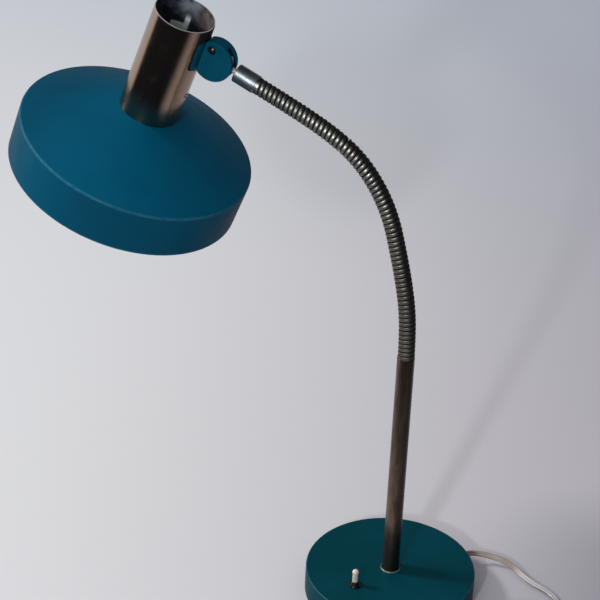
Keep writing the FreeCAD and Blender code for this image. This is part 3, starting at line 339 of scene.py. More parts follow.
def enamel(name, colour, darker_tone, edge_wear_and_highlight=None, pale=(0.05, 0.20, 0.27), dim=None):
    """Satin enamel: a drift of tone, orange peel, a little dust, any painted shade, and a paler edge
    line, part wear and part painted highlight.
    """
    dusty = (0.10, 0.24, 0.30)
    painted_shade_colour = tuple(c * 0.3 for c in darker_tone)
    finish = Finish(name)
    drift = finish.noise(60 * MM, 4, 0.55).ramp(0.3, 0.7)
    base = finish.mix(drift, darker_tone, colour)
    specks = finish.cells(2.6 * MM).ramp(0.12, 0.04)
    base = finish.mix(specks * finish.noise(9 * MM, 2).ramp(0.55, 0.75) * 0.12, base, dusty)
    # Painted shade: the colour is darkened where the dim mask is high.
    if dim is not None:
        base = finish.mix(dim(finish), base, painted_shade_colour)
    peel = finish.noise(1.3 * MM, 2, 0.5)
    rubs = finish.noise(14 * MM, 5, 0.7).ramp(0.35, 0.75)
    # Paler line at edges: partly wear, partly a painted highlight.
    if edge_wear_and_highlight is not None:
        broken = finish.noise(5 * MM, 5, 0.7).ramp(0.35, 0.65)
        base = finish.mix(edge_wear_and_highlight(finish) * (0.35 + broken * 0.65), base, pale)
    finish.set(Base_Color=base, Roughness=0.46 + rubs * 0.12, Specular_IOR_Level=0.04)
    finish.set(Normal=finish.bump(peel, 0.03 * MM, 0.3), Coat_Weight=0.03, Coat_Roughness=0.25)
    return finish.material


def plated(name, colour, stain, roughness, wear, metallic=1.0):
    """Plated or bright metal with stains and rubbing."""
    finish = Finish(name)
    blotch = finish.noise(11 * MM, 6, 0.65, distortion=0.6).ramp(0.47, 0.78)
    lines = finish.noise(1.6 * MM, 4, 0.6)
    base = finish.mix(blotch * wear, colour, stain)
    finish.set(Base_Color=base, Metallic=metallic)
    finish.set(Roughness=roughness + blotch * (0.25 * wear) + lines * (0.12 * wear))
    finish.set(Normal=finish.bump(lines, 0.02 * MM, 0.25 * wear))
    return finish.material


def moulded(name, colour, roughness=0.3, speck=None, coat=0.0):
    """Moulded plastic: a faint mottle, handling marks and soft unevenness."""
    finish = Finish(name)
    mottle = finish.noise(5 * MM, 4, 0.6)
    second = speck or tuple(c * 0.72 for c in colour)
    finish.set(Base_Color=finish.mix(mottle.ramp(0.35, 0.75), colour, second))
    finish.set(Roughness=roughness + finish.noise(1.2 * MM, 3) * 0.12)
    finish.set(Normal=finish.bump(finish.noise(0.8 * MM, 2), 0.03 * MM, 0.3), Coat_Weight=coat)
    return finish.material


lean = math.radians(HEAD_TILT)
HEAD_RIGHT = Vector((math.cos(lean), 0, -math.sin(lean)))
HEAD_UP = Vector((math.sin(lean), 0, math.cos(lean)))
HEAD_ORIGIN = HINGE + HEAD_RIGHT * TUBE_AXIS
HEAD = Matrix.Translation(HEAD_ORIGIN) @ Matrix((HEAD_RIGHT, BACK, HEAD_UP)).transposed().to_4x4()


def head_height(finish):
    return finish.height_along(HEAD_ORIGIN, HEAD_UP)


def head_radius(finish):
    return finish.distance_from(HEAD_ORIGIN, HEAD_UP)


def middle_of(node):
    corners = [Vector(corner) for corner in frame["nodes"][node].bound_box]
    return sum(corners, Vector()) / len(corners)


CLAMP_SCREW_AT = middle_of("clamp_screw")


def base_edge_wear_and_highlight(finish):
    """Paler line on the upper edge of the base's drum: partly wear, partly a painted highlight."""
    start, full = 1.1 * MM, 0.6 * MM
    outer = finish.distance_from((0, 0, 0), UP).ramp(BASE_RADIUS - start, BASE_RADIUS - full)
    upper = finish.height_along((0, 0, 0), UP).ramp(BASE_HEIGHT - start, BASE_HEIGHT - full)
    return outer * upper * 0.8


def shade_edge_wear_and_highlight(finish):
    """Paler line along the crease between the cone and the band, partly wear and partly a painted
    highlight, and wear on the rolled rim.
    """
    height = head_height(finish)
    widest = SHADE_CREASE_RADIUS
    outermost = head_radius(finish).ramp(widest - 1.6 * MM, widest - 0.7 * MM)
    crease = outermost * height.between(CREASE - 1.6 * MM, CREASE + 0.4 * MM, 0.5 * MM)
    return crease * 0.35 + height.ramp(RIM + 0.8 * MM, RIM - 0.6 * MM) * 0.8


def painted_band_shade(finish):
    """Painted shade: the shade's band and its side away from the neck, a little darker than the rest
    of the cone.
    """
    band = head_height(finish).ramp(CREASE + 0.5 * MM, CREASE - 2 * MM) * 0.3
    far_side = finish.height_along(HEAD_ORIGIN, HEAD_RIGHT).ramp(-5 * MM, -95 * MM)
    return band.most(far_side * 0.42)


def painted_recess_shade(finish):
    """Painted shade in the recess round the clamp screw."""
    away = finish.stretched(finish.shifted(finish.place(), tuple(CLAMP_SCREW_AT)), (1, 0, 1))
    return finish.length(away).ramp(4.5 * MM, 3.2 * MM) * 1.2


def stem_metal():
    """Plating gone brown with age: long streaks, pits and a dull bloom, greyer at the foot and darker
    towards the top, with painted shade on one side.
    """
    brown, deep_brown, dull = (0.245, 0.175, 0.13), (0.11, 0.075, 0.052), (0.155, 0.13, 0.112)
    tarnish_and_shade, pitted = (0.045, 0.033, 0.027), (0.04, 0.028, 0.02)
    grey_foot, dark_top = (0.07, 0.065, 0.055), (0.055, 0.038, 0.028)
    finish = Finish("aged_stem_plating")
    place = finish.place()
    x, y, z = finish.split(place)
    streak = finish.noise(7 * MM, 5, 0.65, finish.stretched(place, (1, 1, 0.22)))
    bloom = finish.noise(26 * MM, 4, 0.6, finish.stretched(place, (1, 1, 0.5)))
    pits = finish.cells(1.9 * MM).ramp(0.22, 0.08) * finish.noise(8 * MM, 3).ramp(0.5, 0.62)
    base = finish.mix(streak.ramp(0.35, 0.7), brown, deep_brown)
    base = finish.mix(bloom.ramp(0.5, 0.75) * 0.6, base, dull)
    # Painted shade on one side of the stem.
    painted_shade_side = (x + y * 0.35 + (streak - 0.5) * (4 * MM)).ramp(-2 * MM, 4 * MM)
    base = finish.mix(painted_shade_side * 0.85, base, tarnish_and_shade)
    base = finish.mix(z.ramp(80 * MM, 40 * MM) * 0.4, base, grey_foot)
    base = finish.mix(z.ramp(70 * MM, 190 * MM) * 0.6, base, dark_top)
    base = finish.mix(pits * 0.8, base, pitted)
    finish.set(Base_Color=base, Metallic=0.95 - pits * 0.5)
    finish.set(Roughness=0.24 + streak.ramp(0.3, 0.8) * 0.16 + pits * 0.3)
    finish.set(Normal=finish.bump(streak * 0.6 - pits, 0.02 * MM, 0.4))
    return finish.material


def neck_metal():
    """Half-round steel ribs: grooves dark with grime and painted shade, brown low down, a painted warm
    reflection on the left side and painted shade on the right.
    """
    steel, tarnished, low_brown = (0.50, 0.52, 0.48), (0.36, 0.35, 0.31), (0.20, 0.155, 0.12)
    painted_warm_reflection, painted_right_shade, black = (0.15, 0.10, 0.07), (0.05, 0.044, 0.040), (0.012, 0.009, 0.007)
    finish = Finish("neck_ribs")
    grime_and_shade = finish.attribute("groove").ramp(0.03, 0.32)
    tarnish_and_shade = finish.noise(16 * MM, 5, 0.6).ramp(0.4, 0.7)
    scratch = finish.noise(0.9 * MM, 3, 0.6)
    left = finish.attribute("left")
    height = finish.split(finish.place())[2]
    base = finish.mix(tarnish_and_shade, steel, tarnished)
    base = finish.mix(height.ramp(430 * MM, 310 * MM) * 0.6, base, low_brown)
    # Painted warm reflection on the left side and painted shade on the right.
    base = finish.mix(left.ramp(0.1, 0.75) * 0.85, base, painted_warm_reflection)
    base = finish.mix(left.ramp(-0.15, -0.75) * 0.9, base, painted_right_shade)
    # Grooves darkened with grime and painted shade.
    base = finish.mix(grime_and_shade, base, black)
    finish.set(Base_Color=base, Metallic=1.0 - grime_and_shade * 0.5)
    finish.set(Roughness=0.38 + grime_and_shade * 0.3 + tarnish_and_shade * 0.06 + scratch * 0.05)
    finish.set(Normal=finish.bump(scratch, 0.01 * MM, 0.2))
    return finish.material


def collar_plating():
    """Thin ring that is bright on its outer edge and black next to the stem."""
    bright, dull, black = (0.32, 0.36, 0.34), (0.16, 0.18, 0.17), (0.012, 0.011, 0.010)
    finish = Finish("collar_plating")
    dark_by_stem = finish.distance_from((0, 0, 0), UP).ramp(STEM_RADIUS + 1.1 * MM, STEM_RADIUS + 0.75 * MM)
    smear = finish.noise(5 * MM, 4, 0.6).ramp(0.35, 0.7)
    finish.set(Base_Color=finish.mix(dark_by_stem, finish.mix(smear, bright, dull), black))
    finish.set(Metallic=0.5 - dark_by_stem * 0.3, Roughness=0.36 + smear * 0.1)
    return finish.material


def tube_side(finish, angle):
    """Nearness of a place on the tube to an angle round it: one at the angle, nought square to it."""
    turn = math.radians(angle)
    direction = HEAD_RIGHT * math.cos(turn) + BACK * math.sin(turn)
    return finish.height_along(HEAD_ORIGIN, direction) / TUBE_RADIUS


def tube_plating():
    """Bright tube, brown with age, with painted shade and dark reflection round the knuckle's pad and
    a painted highlight along the upper edge.
    """
    brown, deep_brown = (0.36, 0.262, 0.192), (0.26, 0.185, 0.135)
    black, rim_highlight_colour = (0.012, 0.012, 0.013), (0.50, 0.48, 0.44)
    shade_middle, shade_reach, shade_turn = 2.5 * MM, 22.5 * MM, 0.155
    finish = Finish("tube_plating")
    height = head_height(finish)
    blotch = finish.noise(11 * MM, 6, 0.65, distortion=0.6).ramp(0.5, 0.78)
    lines = finish.noise(1.6 * MM, 4, 0.6, finish.stretched(finish.place(), (1, 1, 0.1)))
    base = finish.mix(blotch * 0.5, brown, deep_brown)
    # Painted shade and dark reflection on the tube round the knuckle's pad.
    away = (1 - tube_side(finish, 0)) / shade_turn + ((height - shade_middle) / shade_reach) ** 2
    grime_and_shade = away.ramp(1.12, 0.92) * 0.96
    base = finish.mix(grime_and_shade, base, black)
    # Painted highlight along the upper edge.
    edge = height.ramp(TUBE_TOP - 2 * TUBE_EDGE, TUBE_TOP - TUBE_EDGE)
    base = finish.mix(edge * 0.8, base, rim_highlight_colour)
    finish.set(Base_Color=base, Metallic=1.0 - grime_and_shade.most(edge) * 0.6)
    finish.set(Roughness=0.14 + blotch * 0.12 + lines * 0.06 + grime_and_shade * 0.3)
    finish.set(Normal=finish.bump(lines, 0.02 * MM, 0.12))
    return finish.material


def tube_inside():
    """Inside of the tube, light and shade painted in: dark clouds, a lit grey back, a brown reflection
    on the right, a pale glint in a wedge and a highlight streak.
    """
    black, cloudy, lit_grey = (0.020, 0.026, 0.040), (0.07, 0.085, 0.11), (0.36, 0.41, 0.46)
    brown, glint_white, highlight_white = (0.20, 0.155, 0.15), (0.75, 0.84, 0.68), (0.92, 0.97, 0.97)
    finish = Finish("tube_inside")
    height = head_height(finish)
    # The dark clouds are painted shade and dark reflection.
    cloud = finish.noise(9 * MM, 4, 0.55, distortion=0.3)
    base = finish.mix(cloud.ramp(0.35, 0.65), black, cloudy)
    # Painted light on the back wall.
    back = tube_side(finish, 101).ramp(0.84, 0.96) * height.ramp(4 * MM, 18 * MM)
    base = finish.mix(back * cloud.ramp(0.15, 0.6) * 0.9, base, lit_grey)
    # Painted brown reflection on the right side.
    right = tube_side(finish, 50).ramp(0.72, 0.93) * height.ramp(-4 * MM, 14 * MM)
    base = finish.mix(right * cloud.ramp(0.25, 0.6) * 0.8, base, brown)
    # Painted pale glint, a wedge low on the back wall.
    painted_glint = tube_side(finish, 114).ramp(0.928, 0.940) * height.ramp(0.5 * MM, -1.5 * MM)
    base = finish.mix(painted_glint * 0.95, base, glint_white)
    # Painted highlight streak.
    streak = tube_side(finish, 98).ramp(0.957, 0.9625) * height.ramp(11 * MM, 2 * MM)
    base = finish.mix(streak * 0.95, base, highlight_white)
    finish.set(Base_Color=base, Metallic=0.5 - painted_glint.most(streak) * 0.5, Roughness=0.26 + cloud * 0.2)
    finish.set(Normal=finish.bump(cloud, 0.05 * MM, 0.3))
    return finish.material


def turned_steel():
    """Bright steel with the fine rings that a lathe tool leaves across the ferrule's axis."""
    ferrule_axis = (-0.93, 0, 0.36)
    finish = Finish("turned_steel")
    rings = finish.noise(0.5 * MM, 2, 0.6, finish.dot(finish.place(), ferrule_axis))
    smear = finish.noise(6 * MM, 4, 0.6)
    finish.set(Base_Color=finish.mix(smear.ramp(0.4, 0.7), (0.40, 0.45, 0.47), (0.29, 0.31, 0.32)))
    finish.set(Metallic=1.0, Roughness=0.38 + smear * 0.12)
    finish.set(Normal=finish.bump(rings, 0.02 * MM, 0.3))
    return finish.material


def flex_plastic():
    """Clear insulation: brown strands show through it near the lamp, farther on it is painted as the
    floor seen through it, and its dark lines are painted refraction and shade.
    """
    strands, aged_strands = (0.33, 0.26, 0.22), (0.27, 0.21, 0.18)
    see_through_pale, see_through_aged, painted_line_brown = (0.52, 0.49, 0.49), (0.47, 0.44, 0.44), (0.13, 0.11, 0.11)
    finish = Finish("clear_flex")
    across = finish.attribute("across")
    along = finish.split(finish.place())[0]
    age = finish.noise(24 * MM, 3).ramp(0.35, 0.7)
    near_lamp = finish.mix(age, strands, aged_strands)
    floor_seen_through = finish.mix(age, see_through_pale, see_through_aged)
    # Farther on, the paler colour is painted as the floor seen through the clear insulation.
    base = finish.mix(along.ramp(95 * MM, 112 * MM), near_lamp, floor_seen_through)
    # Dark lines along the web and the sides: painted refraction and shade.
    lines = across.ramp(0.16, 0.04).most(across.ramp(0.84, 0.97))
    base = finish.mix(lines * 0.8, base, painted_line_brown)
    finish.set(Base_Color=base, Roughness=0.22 + finish.noise(3 * MM, 3) * 0.12)
    finish.set(Coat_Weight=0.3, Coat_Roughness=0.15)
    finish.set(Normal=finish.bump(finish.noise(4 * MM, 2), 0.05 * MM, 0.25))
    return finish.material


def button_plastic():
    """Cream cap on a duller, greyer shaft, with a dark joint between them."""
    finish = Finish("button_plastic")
    height = finish.split(finish.place())[2]
    mottle = finish.noise(2 * MM, 4, 0.6).ramp(0.35, 0.7)
    cap = finish.mix(mottle, (0.62, 0.52, 0.44), (0.50, 0.46, 0.40))
    shaft = finish.mix(mottle, (0.52, 0.52, 0.45), (0.40, 0.41, 0.35))
    seam = BASE_HEIGHT + BUTTON_TOP - BUTTON_HEAD
    base = finish.mix(height.ramp(seam - 0.2 * MM, seam + 0.2 * MM), shaft, cap)
    joint = height.between(seam - 0.3 * MM, seam + 0.1 * MM, 0.3 * MM)
    finish.set(Base_Color=finish.mix(joint * 0.7, base, (0.10, 0.08, 0.06)))
    finish.set(Roughness=0.3 + mottle * 0.15, Normal=finish.bump(mottle, 0.02 * MM, 0.3))
    return finish.material


def felt():
    """Green felt with loose fibres."""
    finish = Finish("green_felt")
    fibre = finish.noise(0.7 * MM, 5, 0.75)
    finish.set(Base_Color=finish.mix(fibre.ramp(0.35, 0.65), (0.02, 0.045, 0.035), (0.06, 0.10, 0.08)))
    finish.set(Roughness=0.95, Sheen_Weight=0.5, Normal=finish.bump(fibre, 0.3 * MM, 0.8))
    return finish.material


def cast_iron():
    """Sand-cast iron with patches of rust."""
    finish = Finish("cast_iron")
    sand = finish.noise(1.6 * MM, 5, 0.7)
    rust = finish.noise(12 * MM, 4, 0.65).ramp(0.5, 0.7)
    finish.set(Base_Color=finish.mix(rust, (0.07, 0.068, 0.065), (0.13, 0.07, 0.04)))
    finish.set(Metallic=0.6 - rust * 0.4, Roughness=0.6 + sand * 0.2)
    finish.set(Normal=finish.bump(sand, 0.3 * MM, 0.7))
    return finish.material


def porcelain():
    """Glazed cream porcelain."""
    finish = Finish("porcelain")
    mottle = finish.noise(3 * MM, 3)
    finish.set(Base_Color=finish.mix(mottle.ramp(0.4, 0.7), (0.83, 0.80, 0.73), (0.75, 0.71, 0.62)))
    finish.set(Roughness=0.18 + mottle * 0.1, Coat_Weight=0.5)
    return finish.material


def reflector_white():
    """White enamel inside the shade, yellowed by heat round the lampholder and a little dusty."""
    white, yellowed, dusty = (0.80, 0.79, 0.75), (0.62, 0.53, 0.38), (0.5, 0.46, 0.4)
    finish = Finish("reflector_white")
    uneven = 0.5 + finish.noise(18 * MM, 4).ramp(0.3, 0.7) * 0.5
    base = finish.mix(head_radius(finish).ramp(60 * MM, 26 * MM) * uneven, white, yellowed)
    dust = finish.noise(2 * MM, 4, 0.7).ramp(0.6, 0.8) * 0.3
    finish.set(Base_Color=finish.mix(dust, base, dusty), Roughness=0.45 + dust)
    finish.set(Normal=finish.bump(finish.noise(1.4 * MM, 2), 0.05 * MM, 0.3))
    return finish.material


def lit_glass():
    """Frosted glass lit from inside, orange at the bulb's neck and pale round its middle."""
    finish = Finish("frosted_bulb")
    glow = head_height(finish).ramp(-62 * MM, -100 * MM)
    frost = finish.noise(1.5 * MM, 3)
    colour = finish.mix(glow, (0.9, 0.55, 0.25), (1.0, 0.80, 0.52))
    finish.set(Base_Color=finish.mix(frost.ramp(0.4, 0.7), (0.9, 0.88, 0.84), (0.82, 0.8, 0.76)))
    finish.set(Roughness=0.35 + frost * 0.15, Emission_Color=colour, Emission_Strength=1.0)
    return finish.material


SHADE_ENAMEL = enamel(
    "petrol_enamel", (0.0, 0.076, 0.140), (0.0, 0.067, 0.124), shade_edge_wear_and_highlight, dim=painted_band_shade,
)
BASE_ENAMEL = enamel(
    "green_petrol_enamel", (0.0, 0.040, 0.056), (0.0, 0.034, 0.046), base_edge_wear_and_highlight, (0.025, 0.11, 0.13),
)
# The knuckle has the shade's petrol enamel; its colours here are darker, as painted shade.
SHADED_KNUCKLE_ENAMEL = enamel("shaded_knuckle_enamel", (0.0, 0.064, 0.108), (0.0, 0.051, 0.088), dim=painted_recess_shade)
TUBE_PLATING = tube_plating()
TUBE_INSIDE = tube_inside()
COLLAR_PLATING = collar_plating()
STEM_METAL = stem_metal()
NECK_METAL = neck_metal()
TURNED_STEEL = turned_steel()
WORN_EYE = plated("worn_eye_steel", (0.50, 0.48, 0.46), (0.33, 0.30, 0.28), 0.5, 0.5, metallic=0.3)
DARK_SCREW = plated("tarnished_screw_steel", (0.16, 0.12, 0.11), (0.08, 0.055, 0.05), 0.34, 0.8)
ZINC_STEEL = plated("zinc_steel", (0.55, 0.55, 0.53), (0.36, 0.34, 0.3), 0.34, 0.7)
BRASS = plated("brass", (0.72, 0.53, 0.24), (0.35, 0.22, 0.09), 0.24, 0.7)
NICKEL = plated("nickel", (0.66, 0.62, 0.55), (0.4, 0.33, 0.25), 0.2, 0.4)
CAP_METAL = plated("bulb_cap_metal", (0.72, 0.72, 0.70), (0.45, 0.42, 0.38), 0.3, 0.5)
BLACK_PLASTIC = moulded("black_plastic", (0.004, 0.004, 0.005), 0.16, (0.008, 0.008, 0.009))
HOLDER_PLASTIC = moulded("holder_plastic", (0.035, 0.02, 0.014), 0.25, (0.055, 0.03, 0.02), 0.3)
CREAM_PLASTIC = moulded("cream_plastic", (0.62, 0.56, 0.47), 0.32, (0.5, 0.43, 0.33), 0.1)
PAD_RUBBER = moulded("black_pad", (0.003, 0.003, 0.004), 0.7)
AMBER_PLASTIC = moulded("amber_plastic", (0.45, 0.38, 0.29))
PALE_LEAD = moulded("grey_lead", (0.30, 0.31, 0.32), 0.35)
AGED_PLASTIC = moulded("aged_plastic", (0.42, 0.46, 0.40), 0.35, (0.33, 0.36, 0.30), 0.2)
FLEX = flex_plastic()
BUTTON_PLASTIC = button_plastic()
FELT = felt()
CAST_IRON = cast_iron()
PORCELAIN = porcelain()
REFLECTOR = reflector_white()
LIT_GLASS = lit_glass()


# Mesh making

def piece_of(shape, name, body, finishes, nodes, sharp):
    """Turns a bmesh into a shown piece that rides on a body and stands in for CAD nodes, if any."""
    mesh = bpy.data.meshes.new(name)
    shape.to_mesh(mesh)
    shape.free()
    mesh.shade_smooth()
    mesh.set_sharp_from_angle(angle=math.radians(sharp))
    for finish in finishes:
        mesh.materials.append(finish)
    piece = bpy.data.objects.new(name, mesh)
    bpy.context.collection.objects.link(piece)
    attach(piece, body)
    if nodes:
        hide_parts(*nodes)
    return piece


def lathe(profile, sides, place=None):
    """A closed turned shape about Z, from the corners (radius, height) of its half section."""
    shape = bmesh.new()
    corners = [shape.verts.new((radius, 0, height)) for radius, height in profile]
    outline = [shape.edges.new(pair) for pair in zip(corners, corners[1:] + corners[:1])]
    bmesh.ops.spin(
        shape, geom=corners + outline, cent=(0, 0, 0), axis=UP,
        angle=2 * math.pi, steps=sides, use_merge=True,
    )
    bmesh.ops.remove_doubles(shape, verts=shape.verts, dist=MERGE)
    bmesh.ops.recalc_face_normals(shape, faces=shape.faces)
    if place is not None:
        bmesh.ops.transform(shape, matrix=place, verts=shape.verts)
    return shape


def arc(centre, radius, start, end, steps=8):
    """Corners along an arc of a half section."""
    angles = [math.radians(start + (end - start) * i / steps) for i in range(steps + 1)]
    return [(centre[0] + radius * math.cos(a), centre[1] + radius * math.sin(a)) for a in angles]


def node_body(node):
    for body, nodes in frame["record"]["behaviour"]["bodies"].items():
        if node in nodes:
            return body


def dressed(node, finish):
    """A smooth-shaded stand-in for a CAD node, with its shape."""
    shape = bmesh.new()
    shape.from_mesh(frame["nodes"][node].data)
    bmesh.ops.remove_doubles(shape, verts=shape.verts, dist=MERGE)
    name = node + "_piece"
    piece = piece_of(shape, name, node_body(node), [finish], [node], DRESSED_EDGE)
    flats = piece.modifiers.new("flats", "WEIGHTED_NORMAL")
    flats.keep_sharp = True
    flats.weight = 100
    return piece


def painted(node, finish):
    """A CAD node that stays, in a finish."""
    mesh = frame["nodes"][node].data
    mesh.materials.clear()
    mesh.materials.append(finish)


# Cord

def coil_points():
    """Points of the coil's turns: inwards on the lower layer, up, and outwards on the upper one."""
    start = COIL_CENTRE + Vector((-COIL_RADIUS, 0, COIL_LOW))
    radius = COIL_RADIUS - COIL_PITCH / 4
    half_turns = [(radius - COIL_PITCH / 2 * i, COIL_LOW) for i in range(2 * COIL_TURNS)]
    smallest = radius - COIL_PITCH * COIL_TURNS
    half_turns.append((smallest, COIL_HIGH))
    half_turns += [(smallest + COIL_PITCH / 2 * i, COIL_HIGH) for i in range(1, 2 * COIL_TURNS)]
    points = [start]
    side = 1
    for radius, level in half_turns:
        middle = start.x + side * radius
        rise = level - start.z
        for k in range(1, COIL_POINTS + 1):
            angle = math.pi * k / COIL_POINTS
            x = middle - side * radius * math.cos(angle)
            y = start.y - side * radius * math.sin(angle)
            points.append(Vector((x, y, start.z + rise * (1 - math.cos(angle)) / 2)))
        start = points[-1]
        side = -side
    return points


def flex_route():
    """The flex's centre line from the base's bush over the table, round the coil and to the plug."""
    route = [FLEX_START] + [Vector(point) * MM for point in FLEX_ROUTE] + coil_points()
    end = route[-1]
    return route + [end + Vector(step) * MM for step in PLUG_STEPS]


def flex_curve(name, route, twists=()):
    """Smooth curve along the route. The twists turn its first points about its length."""
    data = bpy.data.curves.new(name, "CURVE")
    data.dimensions = "3D"
    data.twist_mode = "Z_UP"
    data.resolution_u = FLEX_CURVE_STEPS
    data.use_fill_caps = True
    spline = data.splines.new("NURBS")
    spline.points.add(len(route) - 1)
    for point, place in zip(spline.points, route):
        point.co = (*place, 1)
    for point, twist in zip(spline.points, twists):
        point.tilt = math.radians(twist)
    spline.order_u = 3
    spline.use_endpoint_u = True
    return data


def flex_section():
    """Outline of the twin flex across its length: two round lobes and the web between them."""
    right = arc((FLEX_LOBE, 0), FLEX_LOBE, FLEX_WEB_ANGLE - 180, 180 - FLEX_WEB_ANGLE)
    left = arc((-FLEX_LOBE, 0), FLEX_LOBE, FLEX_WEB_ANGLE, 360 - FLEX_WEB_ANGLE)
    data = bpy.data.curves.new("flex_section", "CURVE")
    outline = data.splines.new("POLY")
    corners = right + left
    outline.points.add(len(corners) - 1)
    for point, (x, y) in zip(outline.points, corners):
        point.co = (x, y, 0, 1)
    outline.use_cyclic_u = True
    return bpy.data.objects.new("flex_section", data), corners


def mesh_of(curve):
    """Mesh of a curve object as it stands."""
    bpy.context.view_layer.update()
    depsgraph = bpy.context.evaluated_depsgraph_get()
    return bpy.data.meshes.new_from_object(curve.evaluated_get(depsgraph))


def make_flex():
    """Flex with its coil, tie and plug. Its attribute across runs from the web to the sides."""
    route = flex_route()
    section, corners = flex_section()
    line = bpy.data.objects.new("flex_line", flex_curve("flex_line", route))
    for helper in (section, line):
        bpy.context.collection.objects.link(helper)
    path = [tuple(vert.co) for vert in mesh_of(line).vertices]
    line.data = flex_curve("flex_tube", route, FLEX_TWISTS)
    line.data.bevel_mode = "OBJECT"
    line.data.bevel_object = section
    shape = bmesh.new()
    shape.from_mesh(mesh_of(line))
    across = shape.verts.layers.float.new("across")
    for index, vert in enumerate(shape.verts):
        vert[across] = abs(corners[index % len(corners)][0]) / (2 * FLEX_LOBE)
    bmesh.ops.remove_doubles(shape, verts=shape.verts, dist=FINE_MERGE)
    bmesh.ops.recalc_face_normals(shape, faces=shape.faces)
    for helper in (section, line):
        bpy.data.objects.remove(helper)
    nodes = ["power_cord", "cord_coil", "plug_lead"]
    flex = piece_of(shape, "flex", "base", [FLEX], nodes, 60)
    plug = dressed("plug_body", CREAM_PLASTIC)
    pins = dressed("plug_pins", NICKEL)
    tie = dressed("cord_tie", AMBER_PLASTIC)


make_flex()


# Gooseneck

def along_bend(point, heading, length, bend):
    """End of an arc that leaves a point at a heading and bends over its length, both in radians."""
    chord = length if abs(bend) < 1e-7 else length * math.sin(bend / 2) / (bend / 2)
    middle = heading - bend / 2
    return point + Vector((-math.cos(middle), 0, math.sin(middle))) * chord


def neck_starts():
    """Start point, heading and bend of each stretch's centre line, with the angles in radians."""
    point = Vector((0, 0, STEM_TOP))
    heading = math.pi / 2
    starts = []
    for share in BEND_SHARES:
        bend = math.radians(NECK_BEND * share)
        starts.append((point, heading, bend))
        point = along_bend(point, heading, SEGMENT, bend)
        heading -= bend
    return starts


NECK_STARTS = neck_starts()


def neck_at(distance):
    """Point on the neck's centre line and its direction, a distance from the stem's top."""
    number = min(int(distance / SEGMENT), len(NECK_STARTS) - 1)
    point, heading, bend = NECK_STARTS[number]
    part = distance - number * SEGMENT
    turn = bend * part / SEGMENT
    place = along_bend(point, heading, part, turn)
    heading -= turn
    return place, Vector((-math.cos(heading), 0, math.sin(heading)))


def neck_section(start, end):
    """Half section of a stretch: a cup at its lower end, a ball at its upper end, and sloped faces."""
    back = NECK_RADIUS * math.tan(math.radians(NECK_SLOPE))
    has_cup = start > 0
    has_ball = end < NECK_LENGTH
    rows = RIBS_PER_SEGMENT * ROWS_PER_RIB
    heights = [start + SEGMENT * i / rows for i in range(rows + 1)]
    heights[0] += back if has_cup else 0
    heights[-1] -= back if has_ball else 0
    cup = arc((0, start), NECK_CUP, 90, NECK_SLOPE) if has_cup else [(0, start)]
    ball = arc((0, end), NECK_BALL, -NECK_SLOPE, 90) if has_ball else [(0, end)]
    return cup + [(NECK_RADIUS, height) for height in heights] + ball


def groove_depth(distance, angle):
    """Share of the groove's depth: one at its bottom, and nought on a crest and at the neck's ends."""
    phase = (distance / RIB_PITCH - (angle - math.radians(GROOVE_FACES)) / (2 * math.pi)) % 1
    depth = 1 - math.sqrt(max(0.0, 1 - (2 * phase - 1) ** 2))
    return depth * max(0, min(1, distance / RIB_PITCH, (NECK_LENGTH - distance) / RIB_PITCH))


def neck_stretch(number, body):
    """Ribbed stretch of the neck between two joints. Its ribs are one half-round winding thread."""
    start = (number - 1) * SEGMENT
    end = number * SEGMENT
    shape = lathe(neck_section(start, end), NECK_SIDES)
    groove = shape.verts.layers.float.new("groove")
    left = shape.verts.layers.float.new("left")
    for vert in shape.verts:
        radius = vert.co.xy.length
        angle = math.atan2(vert.co.y, vert.co.x)
        distance = vert.co.z
        if radius > (NECK_CUP + NECK_RADIUS) / 2:
            depth = groove_depth(distance, angle)
            radius = NECK_RADIUS - GROOVE_DEPTH * depth
            place, direction = neck_at(distance)
        else:
            depth = 1
            joint = start if distance < (start + end) / 2 else end
            place, direction = neck_at(joint)
            place = place + direction * (distance - joint)
        spoke = BACK.cross(direction) * math.cos(angle) + BACK * math.sin(angle)
        vert.co = place + spoke * radius
        vert[groove] = depth
        vert[left] = spoke.dot(NECK_LEFT)
    piece_of(
        shape, "neck_stretch_%02d" % number, body,
        [NECK_METAL], ["neck_segment_%02d" % number], 70,
    )


neck_stretch(1, "base")
for number in range(2, len(BEND_SHARES) + 1):
    neck_stretch(number, "neck_%02d" % number)


# Head

